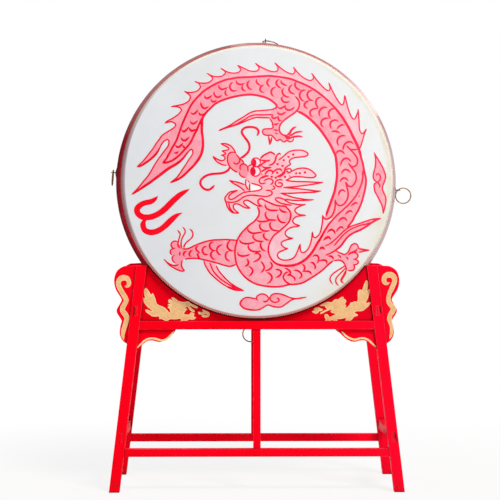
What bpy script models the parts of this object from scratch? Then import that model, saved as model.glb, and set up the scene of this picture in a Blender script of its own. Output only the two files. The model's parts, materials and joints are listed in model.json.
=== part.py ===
"""Large Chinese barrel drum on edge in its red four-legged stand, in metres, +Z up.

The front head looks towards -Y. The stand's joinery, the barrel shell, the two hides, the four ring
handles and the sound springs inside the shell are separate pieces. The origin is on the floor, in
the middle of the ground that the whole thing covers, with the ring that sticks out at the right.
"""

import math

import bmesh
import bpy
from mathutils import Matrix, Vector

FIT = 0.0003                # air between two pieces that touch
AROUND = 80                 # facets round the drum
SMOOTH_ANGLE = 35.0         # degrees: sharper edges on round pieces stay crisp

# Drum, lying along Y
HEAD_SPAN = 0.560           # over the two hides
MOUTH_RADIUS = 0.4975       # outside of the wood where the hides turn over
BELLY_RADIUS = 0.536
SHELL_WALL = 0.022
EDGE_ROUND = 0.006          # bearing edge that the hide turns over
HIDE_THICKNESS = 0.0025
SKIRT = 0.0315              # hide drawn back over the shell, from the head's face

# Ring handles: a domed plate, a split pin with an eye, and a loose ring
RING_RADIUS = 0.02945       # to the middle of the wire
RING_WIRE = 0.0046
EYE_HEIGHT = 0.0129         # from the shell's belly to the middle of the eye
EYE_RADIUS = 0.0075         # to the middle of the wire
EYE_WIRE = 0.0042
SHANK_RADIUS = 0.0018       # of the pin where it goes through the wood
PLATE_RADIUS = 0.020
PLATE_RISE = 0.005
PLATE_RIM = 0.0008
PIN_SIDES = 12
HANDLE_WIRE_SIDES = 6       # of the eyes' and the rings' wire
EYE_AROUND = 16
RING_AROUND = 28
PLATE_AROUND = 24
CLENCH_LENGTH = 0.036       # the split pin's two legs, bent over inside
CLENCH_THICKNESS = 0.003
RING_PLACES = {"right": -2.75, "top": 86.1, "left": 175.7, "bottom": 267.85}   # degrees, from +X
TOP_RING_ROLL = 8.0         # degrees that the top ring's far side has slumped

# Sound springs, hooked to screw eyes in the inside wall
SPRING_PLACE = 24.0         # degrees above and below the drum's middle
SPRING_RADIUS = 0.009
SPRING_WIRE = 0.0024
SPRING_TURNS = 9
SPRING_EYE_REACH = 0.016    # from the inside wall to the middle of the screw eye
SPRING_EYE_RADIUS = 0.0058
SPRING_EYE_WIRE = 0.0028
SPRING_EYE_BITE = 0.012     # length of shank in the wood
HOOK_RADIUS = 0.0062
HOOK_CURL = 250.0           # degrees of wire round the screw eye
SPRING_LEAD = 0.0072        # straight wire between a hook and the coil
COIL_STEPS = 8              # points on each turn
COIL_TAPER = 6              # points over which the coil opens out at each end

# Stand
LEG_WIDTH = 0.039
LEG_HEIGHT = 0.843
LEG_SPLAY_X = 0.1017        # how far a foot stands out from its leg's top
LEG_SPLAY_Y = 0.018
LEG_CLEARANCE = 0.0016      # between the shell and the inner corners of the leg tops
RAIL_BOTTOM = 0.605
RAIL_HEIGHT = 0.032
RAIL_DEPTH = 0.034
RAIL_HOUSING = 0.020        # how far rails and stretchers go into the legs
STRETCHER_BOTTOM = 0.132
STRETCHER_HEIGHT = 0.030
STRETCHER_DEPTH = 0.030
POST_WIDTH = 0.0275
POST_DEPTH = 0.024
POST_HOUSING = 0.012
SIDE_BAR_HEIGHT = 0.036
SIDE_BAR_WIDTH = 0.028
SIDE_RAIL_MIDDLE = 0.6745   # height of the upper side bars
SIDE_STRETCHER_MIDDLE = 0.2045
TENON_THICKNESS = 0.009
TENON_SHOULDER = 0.001      # above and below a through tenon
TENON_PROUD = 0.0005
MORTISE_OVERRUN = 0.006     # how far a mortise's cutter stands out of the leg
BOARD_THICKNESS = 0.016     # aprons and ears
BRACKET_THICKNESS = 0.014
BOARD_GAP = 0.0035          # between the boards and the hides' skirts
BOARD_GROOVE = 0.010        # depth of the groove for the apron in the rail
CRADLE_LIP = 0.0105         # apron left above the rail under the drum
EAR_DROP = 0.2916

# Outlines: out from the leg's outer top corner and down from it, in lobes that meet in notches
EAR_LOBES = (
    ((0.0405, 0.0), (0.069, 0.024), (0.0785, 0.053), (0.073, 0.083), (0.0555, 0.110), (0.049, 0.129)),
    ((0.049, 0.129), (0.0613, 0.155), (0.069, 0.1705), (0.0613, 0.186), (0.050, 0.205)),
    ((0.050, 0.205), (0.054, 0.2275), (0.0575, 0.2465), (0.054, 0.2696), (0.0375, EAR_DROP)),
)
# In from the leg's inner face and down from the rail
BRACKET_EDGE = (
    (0.1367, 0.0), (0.129, 0.015), (0.1065, 0.0375), (0.081, 0.047), (0.053, 0.0413), (0.030, 0.0465),
    (0.000, 0.076),
)
OUTLINE_STEPS = 3           # points from one knot to the next

RED = (0.82, 0.005, 0.012)
SHELL_RED = (0.20, 0.022, 0.016)
HIDE_WHITE = (0.74, 0.77, 0.80)
COPPER = (0.42, 0.20, 0.11)
DARK_IRON = (0.06, 0.045, 0.035)
SPRING_STEEL = (0.45, 0.45, 0.46)

HALF_SPAN = HEAD_SPAN / 2
SHELL_END = HALF_SPAN - HIDE_THICKNESS - FIT
LEG_HALF = LEG_WIDTH / 2
RAIL_TOP = RAIL_BOTTOM + RAIL_HEIGHT
BOARD_FACE = HALF_SPAN - SKIRT - BOARD_GAP
LEG_TOP_Y = BOARD_FACE - BOARD_THICKNESS / 2
FOOT_Y = LEG_TOP_Y + LEG_SPLAY_Y


def barrel(y):
    """Radius of the shell's outside at a distance from its middle."""
    return BELLY_RADIUS - (BELLY_RADIUS - MOUTH_RADIUS) * (y / HALF_SPAN) ** 2


def barrel_point(y, offset):
    """A point (radius, y) at an offset square to the shell's outside."""
    slope = -2 * (BELLY_RADIUS - MOUTH_RADIUS) * y / HALF_SPAN ** 2
    normal = Vector((1, -slope)).normalized()
    return barrel(y) + offset * normal.x, y + offset * normal.y


DRUM_HEIGHT = RAIL_TOP + CRADLE_LIP + barrel(BOARD_FACE)
LEG_TOP_X = (
    math.sqrt(barrel(LEG_TOP_Y - LEG_HALF) ** 2 - (DRUM_HEIGHT - LEG_HEIGHT) ** 2)
    + LEG_CLEARANCE + LEG_HALF
)
FOOT_X = LEG_TOP_X + LEG_SPLAY_X


def leg_x(height):
    return FOOT_X + (LEG_TOP_X - FOOT_X) * height / LEG_HEIGHT


def leg_y(height):
    return FOOT_Y + (LEG_TOP_Y - FOOT_Y) * height / LEG_HEIGHT


# Scene and materials

def clear_scene():
    for old in list(bpy.data.objects):
        bpy.data.objects.remove(old)


def material(name, colour, roughness, metallic=0.0):
    made = bpy.data.materials.new(name)
    made.use_nodes = True
    shader = made.node_tree.nodes["Principled BSDF"]
    shader.inputs["Base Color"].default_value = (*colour, 1)
    shader.inputs["Roughness"].default_value = roughness
    shader.inputs["Metallic"].default_value = metallic
    made.diffuse_color = (*colour, 1)
    return made


def add_object(name, data, parent=None, look=None):
    made = bpy.data.objects.new(name, data)
    bpy.context.scene.collection.objects.link(made)
    made.parent = parent
    if look:
        data.materials.append(look)
    return made


def empty(name, place, parent=None):
    made = add_object(name, None, parent)
    made.matrix_basis = place
    return made


def hide_tool(tool):
    """A cutter or an added shape: seen in the viewport as wire, and left out of the model."""
    tool.hide_render = True
    tool.display_type = "WIRE"
    return tool


def combine(target, tool, operation):
    modifier = target.modifiers.new(operation.lower(), "BOOLEAN")
    modifier.operation = operation
    modifier.solver = "EXACT"
    modifier.object = hide_tool(tool)


# Meshes

def mesh_of(name, points, faces, smooth_angle=None):
    mesh = bpy.data.meshes.new(name)
    mesh.from_pydata([tuple(p) for p in points], [], faces)
    shape = bmesh.new()
    shape.from_mesh(mesh)
    bmesh.ops.recalc_face_normals(shape, faces=shape.faces)
    shape.to_mesh(mesh)
    shape.free()
    if smooth_angle:
        mesh.shade_smooth()
        mesh.set_sharp_from_angle(angle=math.radians(smooth_angle))
    return mesh


def turned(name, profile, around, closed=False):
    """A profile of (radius, z) points turned about Z: closed into a ring, or capped flat at both ends."""
    points = [
        (radius * math.cos(turn), radius * math.sin(turn), z)
        for radius, z in profile
        for turn in (math.tau * k / around for k in range(around))
    ]
    rows = len(profile)
    faces = []
    for row in range(rows if closed else rows - 1):
        above = (row + 1) % rows
        for k in range(around):
            beside = (k + 1) % around
            low, high = row * around, above * around
            faces.append((low + k, low + beside, high + beside, high + k))
    if not closed:
        faces.append(tuple(range(around)))
        faces.append(tuple((rows - 1) * around + k for k in range(around)))
    return mesh_of(name, points, faces, SMOOTH_ANGLE)


def circle(radius, sides, out):
    """Points (radius, z) of a wire's section, with its middle a distance out from the axis."""
    turns = [math.tau * k / sides for k in range(sides)]
    return [(out + radius * math.cos(turn), radius * math.sin(turn)) for turn in turns]


def prism(name, low, high, width, depth, grow=0.0):
    """An upright bar between the middles of its two level ends, which may stand off each other."""
    points = []
    half_width, half_depth = width / 2 + grow, depth / 2 + grow
    for middle, way in ((Vector(low), -1), (Vector(high), 1)):
        for side, face in ((-1, -1), (1, -1), (1, 1), (-1, 1)):
            points.append(middle + Vector((side * half_width, face * half_depth, way * grow)))
    faces = [(0, 1, 2, 3), (4, 5, 6, 7), (0, 1, 5, 4), (1, 2, 6, 5), (2, 3, 7, 6), (3, 0, 4, 7)]
    return mesh_of(name, points, faces)


def box(name, low, high, grow=0.0):
    middle = [(a + b) / 2 for a, b in zip(low, high)]
    return prism(
        name, (middle[0], middle[1], low[2]), (middle[0], middle[1], high[2]),
        high[0] - low[0], high[1] - low[1], grow,
    )


def board(name, outline, middle_y, thickness):
    """An outline of (x, z) points cut from a board that stands square to Y."""
    count = len(outline)
    points = [(x, middle_y + side * thickness / 2, z) for side in (-1, 1) for x, z in outline]
    faces = [tuple(range(count)), tuple(range(count, 2 * count))]
    faces += [(k, (k + 1) % count, count + (k + 1) % count, count + k) for k in range(count)]
    return mesh_of(name, points, faces)


def smooth(knots, steps):
    """Points on a smooth curve through the knots, the last knot left out."""
    knots = [Vector(k) for k in knots]
    padded = [2 * knots[0] - knots[1], *knots, 2 * knots[-1] - knots[-2]]
    points = []
    for before, start, end, after in zip(padded, padded[1:], padded[2:], padded[3:]):
        for step in range(steps):
            t = step / steps
            points.append(0.5 * (
                2 * start + (end - before) * t
                + (2 * before - 5 * start + 4 * end - after) * t ** 2
                + (3 * start - before - 3 * end + after) * t ** 3
            ))
    return [tuple(p) for p in points]


# The drum's shell and hides

def edge_profile(offset, start, steps, bends):
    """The shell's outside from a distance to its middle to the flat of its end, at an offset."""
    turn_y = SHELL_END - EDGE_ROUND
    normal = Vector(barrel_point(turn_y, 1)) - Vector(barrel_point(turn_y, 0))
    tilt = math.atan2(normal.y, normal.x)
    touch = turn_y + EDGE_ROUND * math.sin(tilt)
    turn_radius = barrel(touch) - EDGE_ROUND * math.cos(tilt)
    points = [barrel_point(start + (touch - start) * k / steps, offset) for k in range(steps)]
    for k in range(bends + 1):
        turn = tilt + (math.pi / 2 - tilt) * k / bends
        points.append((
            turn_radius + (EDGE_ROUND + offset) * math.cos(turn),
            turn_y + (EDGE_ROUND + offset) * math.sin(turn),
        ))
    return points


def shell_profile():
    outside = edge_profile(0.0, 0.0, 4, 2)
    half_wall = [(barrel(y) - SHELL_WALL, y) for y in (SHELL_END, 2 * INSIDE_ROW, INSIDE_ROW)]
    side = [*outside, *half_wall]
    other = [(radius, -y) for radius, y in reversed(side[1:])]
    return [*side, (BELLY_RADIUS - SHELL_WALL, 0.0), *other]


def hide_profile():
    skirt_start = HALF_SPAN - SKIRT
    outside = edge_profile(FIT + HIDE_THICKNESS, skirt_start, 1, 3)
    inside = edge_profile(FIT, skirt_start, 1, 3)
    return [*reversed(outside), *inside]


def solid_barrel(name, offset):
    """The shell's outside as a solid, which cuts the cradle."""
    steps = 12
    profile = [
        barrel_point(HALF_SPAN * (2 * k / steps - 1), offset)
        for k in range(steps + 1)
    ]
    return turned(name, profile, AROUND)


def eye_frame(degrees, radius):
    """A frame on the drum: Z points out of the shell, Y along it, and X clockwise round it."""
    turn = math.radians(degrees)
    out = Vector((math.cos(turn), 0, math.sin(turn)))
    round_it = Vector((math.sin(turn), 0, -math.cos(turn)))
    frame = Matrix((round_it, (0, 1, 0), out)).transposed().to_4x4()
    frame.translation = out * radius
    return frame


# Ring handles

DOME_RADIUS = (PLATE_RADIUS ** 2 + PLATE_RISE ** 2) / (2 * PLATE_RISE)
INSIDE_ROW = SHELL_END / 3      # rows of facets on the inside wall
CLENCH_DROP = (BELLY_RADIUS - barrel(INSIDE_ROW)) * CLENCH_LENGTH / 2 / INSIDE_ROW
CLENCH_SEAT = (BELLY_RADIUS - SHELL_WALL - CLENCH_DROP) * math.cos(math.pi / AROUND) - FIT


def ring_pose(swing, slip, roll=0.0):
    """How a ring hangs in its eye's frame: swung about the eye, slipped round through it and rolled."""
    away = Vector((0, math.sin(swing), math.cos(swing)))
    across = Vector((0, math.cos(swing), -math.sin(swing)))
    to_middle = Vector((math.sin(slip), 0, 0)) + away * math.cos(slip)
    turn = Matrix((to_middle, across.cross(to_middle), across)).transposed()
    return Matrix.Rotation(roll, 3, away) @ turn


def clearance(pose):
    """Least distance of a ring's wire from the shell and from its domed plate."""
    dome_middle = Vector((0, 0, PLATE_RISE - EYE_HEIGHT - DOME_RADIUS))
    least = math.inf
    samples = 72
    for k in range(samples):
        turn = math.tau * k / samples
        point = pose @ Vector((RING_RADIUS * (1 + math.cos(turn)), RING_RADIUS * math.sin(turn), 0))
        from_axis = math.hypot(BELLY_RADIUS + EYE_HEIGHT + point.z, point.x)
        over_dome = (point - dome_middle).length - DOME_RADIUS
        least = min(least, from_axis - barrel(point.y), over_dome)
    return least - RING_WIRE / 2


def settled(air_at, start, end):
    """The angle between start and end at which a ring comes to rest on the drum."""
    for _ in range(30):
        middle = (start + end) / 2
        if air_at(middle) > FIT:
            start = middle
        else:
            end = middle
    return start


def swing_air(slip, roll):
    """Least clearance of a ring that swings over from side to side."""
    swings = [math.radians(angle) for angle in range(-80, 81, 4)]
    return min(clearance(ring_pose(swing, slip, roll)) for swing in swings)


LEAN = settled(lambda slip: clearance(ring_pose(0.0, slip)), 0.0, math.radians(80))
FLAT = math.radians(90)
TOP_ROLL = math.radians(TOP_RING_ROLL)
TOP_LEAN = settled(lambda slip: swing_air(slip, TOP_ROLL), 0.0, LEAN)
DROOP = settled(lambda swing: clearance(ring_pose(swing, TOP_LEAN, TOP_ROLL)), FLAT, FLAT + 1.0)
HANG = EYE_RADIUS - (EYE_WIRE + RING_WIRE) / 2 - FIT    # play that the bottom ring has dropped
RING_POSES = {
    "right": ring_pose(0.0, LEAN),
    "top": ring_pose(DROOP, TOP_LEAN, TOP_ROLL),
    "left": ring_pose(-FLAT, -LEAN),
    "bottom": ring_pose(0.0, math.radians(RING_PLACES["bottom"] - 270)),
}


def plate_hole():
    """Radius of the hole in the dome, on whose rim the shoulders of the eye sit."""
    reach = EYE_RADIUS + EYE_WIRE / 2
    apart = EYE_HEIGHT - PLATE_RISE + DOME_RADIUS
    along = (DOME_RADIUS ** 2 - reach ** 2 + apart ** 2) / (2 * apart)
    return math.sqrt(max(DOME_RADIUS ** 2 - along ** 2, SHANK_RADIUS ** 2)) + FIT


def plate_mesh():
    hole = plate_hole()
    steps = 4
    half_angle = math.asin(PLATE_RADIUS / DOME_RADIUS)
    hole_angle = math.asin(hole / DOME_RADIUS)
    profile = [(hole, 0.0), (PLATE_RADIUS, 0.0)]
    for k in range(steps + 1):
        turn = half_angle + (hole_angle - half_angle) * k / steps
        height = PLATE_RISE - DOME_RADIUS * (1 - math.cos(turn))
        profile.append((DOME_RADIUS * math.sin(turn), max(height, 0) + (PLATE_RIM if k == 0 else 0)))
    return turned("handle_plate", profile, PLATE_AROUND, closed=True)


def wire_ring(name, radius, wire, around):
    section = circle(wire / 2, HANDLE_WIRE_SIDES, radius)
    return turned(name, section, around, closed=True)


def make_ring_handle(side, drum, looks):
    place = RING_PLACES[side]
    plate = add_object(f"{side}_handle_plate", plate_mesh(), drum, looks["dark_iron"])
    plate.matrix_basis = eye_frame(place, BELLY_RADIUS + FIT)

    eye = wire_ring("eye", EYE_RADIUS, EYE_WIRE, EYE_AROUND)
    pin = add_object(f"{side}_eye_pin", eye, drum, looks["dark_iron"])
    pin.matrix_basis = eye_frame(place, BELLY_RADIUS + EYE_HEIGHT) @ Matrix.Rotation(FLAT, 4, "Y")
    shank_foot = CLENCH_SEAT - CLENCH_THICKNESS / 2
    shank_top = BELLY_RADIUS + EYE_HEIGHT - EYE_RADIUS
    shank = turned("shank", [(SHANK_RADIUS, shank_foot), (SHANK_RADIUS, shank_top)], PIN_SIDES)
    combine(pin, place_tool(f"{side}_shank", shank, drum, place), "UNION")
    clench = box(
        "clench",
        (-EYE_WIRE / 2, -CLENCH_LENGTH / 2, CLENCH_SEAT - CLENCH_THICKNESS),
        (EYE_WIRE / 2, CLENCH_LENGTH / 2, CLENCH_SEAT),
    )
    combine(pin, place_tool(f"{side}_clench", clench, drum, place), "UNION")

    pivot = empty(f"{side}_ring_pivot", eye_frame(place, BELLY_RADIUS + EYE_HEIGHT), drum)
    ring_mesh = wire_ring("ring", RING_RADIUS, RING_WIRE, RING_AROUND)
    drop = HANG if side == "bottom" else 0
    ring_mesh.transform(Matrix.Translation((RING_RADIUS + drop, 0, 0)))
    ring = add_object(f"{side}_ring", ring_mesh, pivot, looks["copper"])
    ring.matrix_basis = RING_POSES[side].to_4x4()
    return ring


def place_tool(name, mesh, drum, degrees):
    tool = add_object(name, mesh, drum)
    tool.matrix_basis = eye_frame(degrees, 0.0)
    return tool


# Sound springs

def spring_eye_places(side):
    """The two screw eyes of one spring, in degrees round the drum: the lower one and the upper one."""
    if side == "right":
        return -SPRING_PLACE, SPRING_PLACE
    return 180 + SPRING_PLACE, 180 - SPRING_PLACE


def spring_eye_radius():
    return BELLY_RADIUS - SHELL_WALL - SPRING_EYE_REACH


def spring_route(side):
    """Hook, coil and hook of a spring that hangs upright between its two screw eyes."""
    lower, upper = (eye_frame(d, spring_eye_radius()).translation for d in spring_eye_places(side))
    pull = SPRING_EYE_RADIUS + HOOK_RADIUS - (SPRING_EYE_WIRE + SPRING_WIRE) / 2 - FIT
    hook_steps = 10
    hook = []
    for k in range(hook_steps + 1):
        turn = math.radians(HOOK_CURL) * (k / hook_steps - 1)
        hook.append((HOOK_RADIUS * math.cos(turn), HOOK_RADIUS * math.sin(turn)))
    start = lower.z + pull
    end = upper.z - pull
    steps = SPRING_TURNS * COIL_STEPS
    points = [Vector((lower.x, y, start + z)) for y, z in hook]
    points.append(Vector((lower.x, HOOK_RADIUS, start + SPRING_LEAD)))
    for k in range(steps + 1):
        share = k / steps
        turn = math.tau * SPRING_TURNS * share
        growth = min(1, k / COIL_TAPER, (steps - k) / COIL_TAPER)
        radius = SPRING_RADIUS * growth * growth * (3 - 2 * growth)
        points.append(Vector((
            lower.x + radius * math.sin(turn),
            HOOK_RADIUS - radius * math.cos(turn),
            start + 2 * SPRING_LEAD + (end - start - 4 * SPRING_LEAD) * share,
        )))
    points.append(Vector((lower.x, HOOK_RADIUS, end - SPRING_LEAD)))
    points += [Vector((lower.x, y, end - z)) for y, z in reversed(hook)]
    return points


def make_spring(side, drum, looks):
    route = spring_route(side)
    print(side, "spring: least gap between turns", round(least_gap(route, SPRING_WIRE) * 1000, 2), "mm")
    curve = bpy.data.curves.new(f"{side}_sound_spring", "CURVE")
    curve.dimensions = "3D"
    curve.bevel_depth = SPRING_WIRE / 2
    curve.bevel_resolution = 1
    curve.use_fill_caps = True
    spline = curve.splines.new("POLY")
    spline.points.add(len(route) - 1)
    for point, at in zip(spline.points, route):
        point.co = (*at, 1)
    add_object(f"{side}_sound_spring", curve, drum, looks["spring_steel"])


def least_gap(route, wire):
    """Least gap of a wire to itself, between points more than four wires apart along it."""
    along = [0.0]
    for a, b in zip(route, route[1:]):
        along.append(along[-1] + (b - a).length)
    return min(
        (b - a).length - wire
        for i, a in enumerate(route)
        for j, b in enumerate(route[:i])
        if along[i] - along[j] > 4 * wire
    )


def make_spring_eye(name, degrees, drum, looks):
    """A screw eye in the inside wall, its eye square to the drum's length."""
    mesh = wire_ring("spring_eye", SPRING_EYE_RADIUS, SPRING_EYE_WIRE, EYE_AROUND)
    eye = add_object(name, mesh, drum, looks["dark_iron"])
    eye.matrix_basis = eye_frame(degrees, spring_eye_radius()) @ Matrix.Rotation(FLAT, 4, "X")
    combine(eye, place_tool(f"{name}_shank", spring_shank(0.0), drum, degrees), "UNION")
    return eye


def spring_shank(grow):
    start = spring_eye_radius() + SPRING_EYE_RADIUS
    end = BELLY_RADIUS - SHELL_WALL + SPRING_EYE_BITE
    radius = SPRING_EYE_WIRE / 2 + grow
    return turned("spring_shank", [(radius, start), (radius, end + grow)], 8)


def make_drum(whole, looks):
    drum = empty("drum_pivot", Matrix.Translation((0, 0, DRUM_HEIGHT)), whole)
    forwards = Matrix.Rotation(FLAT, 4, "X")
    backwards = Matrix.Rotation(-FLAT, 4, "X")
    shell = turned("drum_shell", shell_profile(), AROUND, closed=True)
    shell = add_object("drum_shell", shell, drum, looks["shell_red"])
    shell.matrix_basis = forwards
    for name, way in (("front_head", forwards), ("rear_head", backwards)):
        head = add_object(name, turned(name, hide_profile(), AROUND), drum, looks["hide"])
        head.matrix_basis = way

    for side, place in RING_PLACES.items():
        make_ring_handle(side, drum, looks)
        drill = (BELLY_RADIUS - 2 * SHELL_WALL, BELLY_RADIUS + SHELL_WALL)
        hole = turned("pin_hole", [(SHANK_RADIUS + FIT, z) for z in drill], PIN_SIDES)
        combine(shell, place_tool(f"{side}_pin_hole", hole, drum, place), "DIFFERENCE")
    for side in ("left", "right"):
        make_spring(side, drum, looks)
        for level, place in zip(("lower", "upper"), spring_eye_places(side)):
            make_spring_eye(f"{side}_{level}_spring_eye", place, drum, looks)
            hole = place_tool(f"{side}_{level}_eye_hole", spring_shank(FIT), drum, place)
            combine(shell, hole, "DIFFERENCE")
    return drum


# The stand: legs, bars and the housings that they need in each other

def bar_y(height, size, depth):
    """Low and high Y of a front or rear bar, centred in the legs at its middle height."""
    middle = leg_y(height + size / 2)
    return middle - depth / 2, middle + depth / 2


def long_bar_box(end, low_z, height, depth):
    """Corners of a rail or a stretcher that runs along X and is housed in two legs."""
    near, far = bar_y(low_z, height, depth)
    reach = leg_x(low_z + height / 2) - LEG_HALF + RAIL_HOUSING
    ys = (-far, -near) if end == "front" else (near, far)
    return (-reach, ys[0], low_z), (reach, ys[1], low_z + height)


def post_ends(end):
    """Middles of a centre post's ends, inside the stretcher below and the rail above."""
    way = -1 if end == "front" else 1
    low = STRETCHER_BOTTOM + STRETCHER_HEIGHT - POST_HOUSING
    high = RAIL_BOTTOM + POST_HOUSING
    low_y = leg_y(STRETCHER_BOTTOM + STRETCHER_HEIGHT / 2)
    high_y = leg_y(RAIL_BOTTOM + RAIL_HEIGHT / 2)
    return (0, way * low_y, low), (0, way * high_y, high)


def side_bar_meshes(side, middle_height, grow):
    """The shouldered body of a side bar, and the thin tenon that goes right through both legs."""
    way = -1 if side == "left" else 1
    x = way * leg_x(middle_height)
    half = SIDE_BAR_HEIGHT / 2
    low, high = middle_height - half, middle_height + half
    body = box("side_bar", (x - SIDE_BAR_WIDTH / 2, -FOOT_Y, low), (x + SIDE_BAR_WIDTH / 2, FOOT_Y, high))
    for corner in body.vertices:
        shoulder = leg_y(corner.co.z) - LEG_HALF - FIT
        corner.co.y = math.copysign(shoulder, corner.co.y)
    tenon_reach = leg_y(low) + LEG_HALF + TENON_PROUD + (MORTISE_OVERRUN if grow else 0)
    tenon = box(
        "tenon",
        (x - TENON_THICKNESS / 2 - grow, -tenon_reach, low + TENON_SHOULDER - grow),
        (x + TENON_THICKNESS / 2 + grow, tenon_reach, high - TENON_SHOULDER + grow),
    )
    return body, tenon


def make_leg(end, side, whole, looks):
    way_x = -1 if side == "left" else 1
    way_y = -1 if end == "front" else 1
    foot = (way_x * FOOT_X, way_y * FOOT_Y, 0)
    top = (way_x * LEG_TOP_X, way_y * LEG_TOP_Y, LEG_HEIGHT)
    name = f"{end}_{side}_leg"
    leg = add_object(name, prism(name, foot, top, LEG_WIDTH, LEG_WIDTH), whole, looks["red_paint"])
    for low_z, height, depth in (
        (RAIL_BOTTOM, RAIL_HEIGHT, RAIL_DEPTH), (STRETCHER_BOTTOM, STRETCHER_HEIGHT, STRETCHER_DEPTH),
    ):
        low, high = long_bar_box(end, low_z, height, depth)
        combine(leg, add_object(f"{name}_housing", box("housing", low, high, FIT), whole), "DIFFERENCE")
    for middle in (SIDE_RAIL_MIDDLE, SIDE_STRETCHER_MIDDLE):
        _, tenon = side_bar_meshes(side, middle, FIT)
        combine(leg, add_object(f"{name}_mortise", tenon, whole), "DIFFERENCE")


def make_long_bars(end, whole, looks):
    rail = None
    for name, low_z, height, depth in (
        (f"{end}_rail", RAIL_BOTTOM, RAIL_HEIGHT, RAIL_DEPTH),
        (f"{end}_stretcher", STRETCHER_BOTTOM, STRETCHER_HEIGHT, STRETCHER_DEPTH),
    ):
        low, high = long_bar_box(end, low_z, height, depth)
        bar = add_object(name, box(name, low, high), whole, looks["red_paint"])
        low_end, high_end = post_ends(end)
        housing = prism("housing", low_end, high_end, POST_WIDTH, POST_DEPTH, FIT)
        combine(bar, add_object(f"{name}_post_housing", housing, whole), "DIFFERENCE")
        rail = rail or bar
    low_end, high_end = post_ends(end)
    post = prism(f"{end}_centre_post", low_end, high_end, POST_WIDTH, POST_DEPTH)
    add_object(f"{end}_centre_post", post, whole, looks["red_paint"])
    groove = board("groove", apron_outline(FIT), board_y(end), BOARD_THICKNESS + 2 * FIT)
    combine(rail, add_object(f"{end}_rail_groove", groove, whole), "DIFFERENCE")


def make_side_bar(side, name, middle, whole, looks):
    body, tenon = side_bar_meshes(side, middle, 0.0)
    bar = add_object(name, body, whole, looks["red_paint"])
    combine(bar, add_object(f"{name}_tenon", tenon, whole), "UNION")


# The stand's boards

def board_y(end):
    return -LEG_TOP_Y if end == "front" else LEG_TOP_Y


def inner_face(height):
    return leg_x(height) - LEG_HALF - FIT


def outer_face(height):
    return leg_x(height) + LEG_HALF + FIT


def apron_outline(grow):
    """The apron before the drum is cut out of it, let into the rail."""
    low = RAIL_TOP - BOARD_GROOVE - grow
    return [
        (-inner_face(low), low), (inner_face(low), low),
        (inner_face(LEG_HEIGHT), LEG_HEIGHT), (-inner_face(LEG_HEIGHT), LEG_HEIGHT),
    ]


def ear_outline():
    corner = outer_face(LEG_HEIGHT)
    points = [(corner, LEG_HEIGHT)]
    for lobe in EAR_LOBES:
        points += [(corner + out, LEG_HEIGHT - down) for out, down in smooth(lobe, OUTLINE_STEPS)]
    end = LEG_HEIGHT - EAR_DROP
    return [*points, (outer_face(end) + FIT, end)]


def bracket_outline():
    top = RAIL_BOTTOM - FIT
    points = [(inner_face(top), top)]
    for into, down in [*smooth(BRACKET_EDGE, OUTLINE_STEPS), BRACKET_EDGE[-1]]:
        height = top - down
        points.append((inner_face(height) - into, height))
    return points


def mirrored(outline):
    return [(-x, z) for x, z in outline]


def make_boards(end, cradle, whole, looks):
    apron = board(f"{end}_apron", apron_outline(0.0), board_y(end), BOARD_THICKNESS)
    apron = add_object(f"{end}_apron", apron, whole, looks["red_paint"])
    combine(apron, cradle, "DIFFERENCE")
    for side in ("left", "right"):
        ear, bracket = ear_outline(), bracket_outline()
        if side == "left":
            ear, bracket = mirrored(ear), mirrored(bracket)
        for kind, outline, thickness in (
            ("ear", ear, BOARD_THICKNESS), ("bracket", bracket, BRACKET_THICKNESS),
        ):
            name = f"{end}_{side}_{kind}"
            add_object(name, board(name, outline, board_y(end), thickness), whole, looks["red_paint"])


def make_stand(whole, looks):
    cradle = add_object("cradle_cutter", solid_barrel("cradle_cutter", FIT), whole)
    cradle.matrix_basis = Matrix.Translation((0, 0, DRUM_HEIGHT)) @ Matrix.Rotation(FLAT, 4, "X")
    for end in ("front", "rear"):
        for side in ("left", "right"):
            make_leg(end, side, whole, looks)
        make_long_bars(end, whole, looks)
        make_boards(end, cradle, whole, looks)
    for side in ("left", "right"):
        make_side_bar(side, f"{side}_side_rail", SIDE_RAIL_MIDDLE, whole, looks)
        make_side_bar(side, f"{side}_side_stretcher", SIDE_STRETCHER_MIDDLE, whole, looks)


def sideways_middle():
    """Middle of the whole thing's width: the right ring's far side and the left eye pin's tip."""
    eye = eye_frame(RING_PLACES["right"], BELLY_RADIUS + EYE_HEIGHT)
    ring_middle = eye @ (RING_POSES["right"] @ Vector((RING_RADIUS, 0, 0)))
    right = ring_middle.x + RING_RADIUS + RING_WIRE / 2
    tip = EYE_HEIGHT + EYE_RADIUS + EYE_WIRE / 2
    left = eye_frame(RING_PLACES["left"], BELLY_RADIUS + tip).translation.x
    return (left + right) / 2


def main():
    clear_scene()
    looks = {
        "red_paint": material("red_paint", RED, 0.32),
        "shell_red": material("shell_red", SHELL_RED, 0.22),
        "hide": material("hide", HIDE_WHITE, 0.55),
        "copper": material("copper", COPPER, 0.35, 1.0),
        "dark_iron": material("dark_iron", DARK_IRON, 0.5, 0.8),
        "spring_steel": material("spring_steel", SPRING_STEEL, 0.35, 1.0),
    }
    whole = empty("drum_and_stand", Matrix.Translation((-sideways_middle(), 0, 0)))
    make_stand(whole, looks)
    make_drum(whole, looks)
    bpy.context.view_layer.update()
    print("rings lean", round(math.degrees(LEAN), 3), "degrees, the top one", round(math.degrees(TOP_LEAN), 3))
    print("top ring droops", round(math.degrees(DROOP), 3), "degrees")
    for side in RING_PLACES:
        pivot = bpy.data.objects[f"{side}_ring_pivot"].matrix_world
        at = [round(v, 6) for v in pivot.translation]
        axis = [round(v, 6) for v in pivot.to_3x3() @ Vector((1, 0, 0))]
        print(side, "ring swings at", at, "about", axis)


main()
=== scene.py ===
import json
import math
import random

import bmesh
import bpy
import numpy
from mathutils import Matrix, Vector, noise

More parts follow.
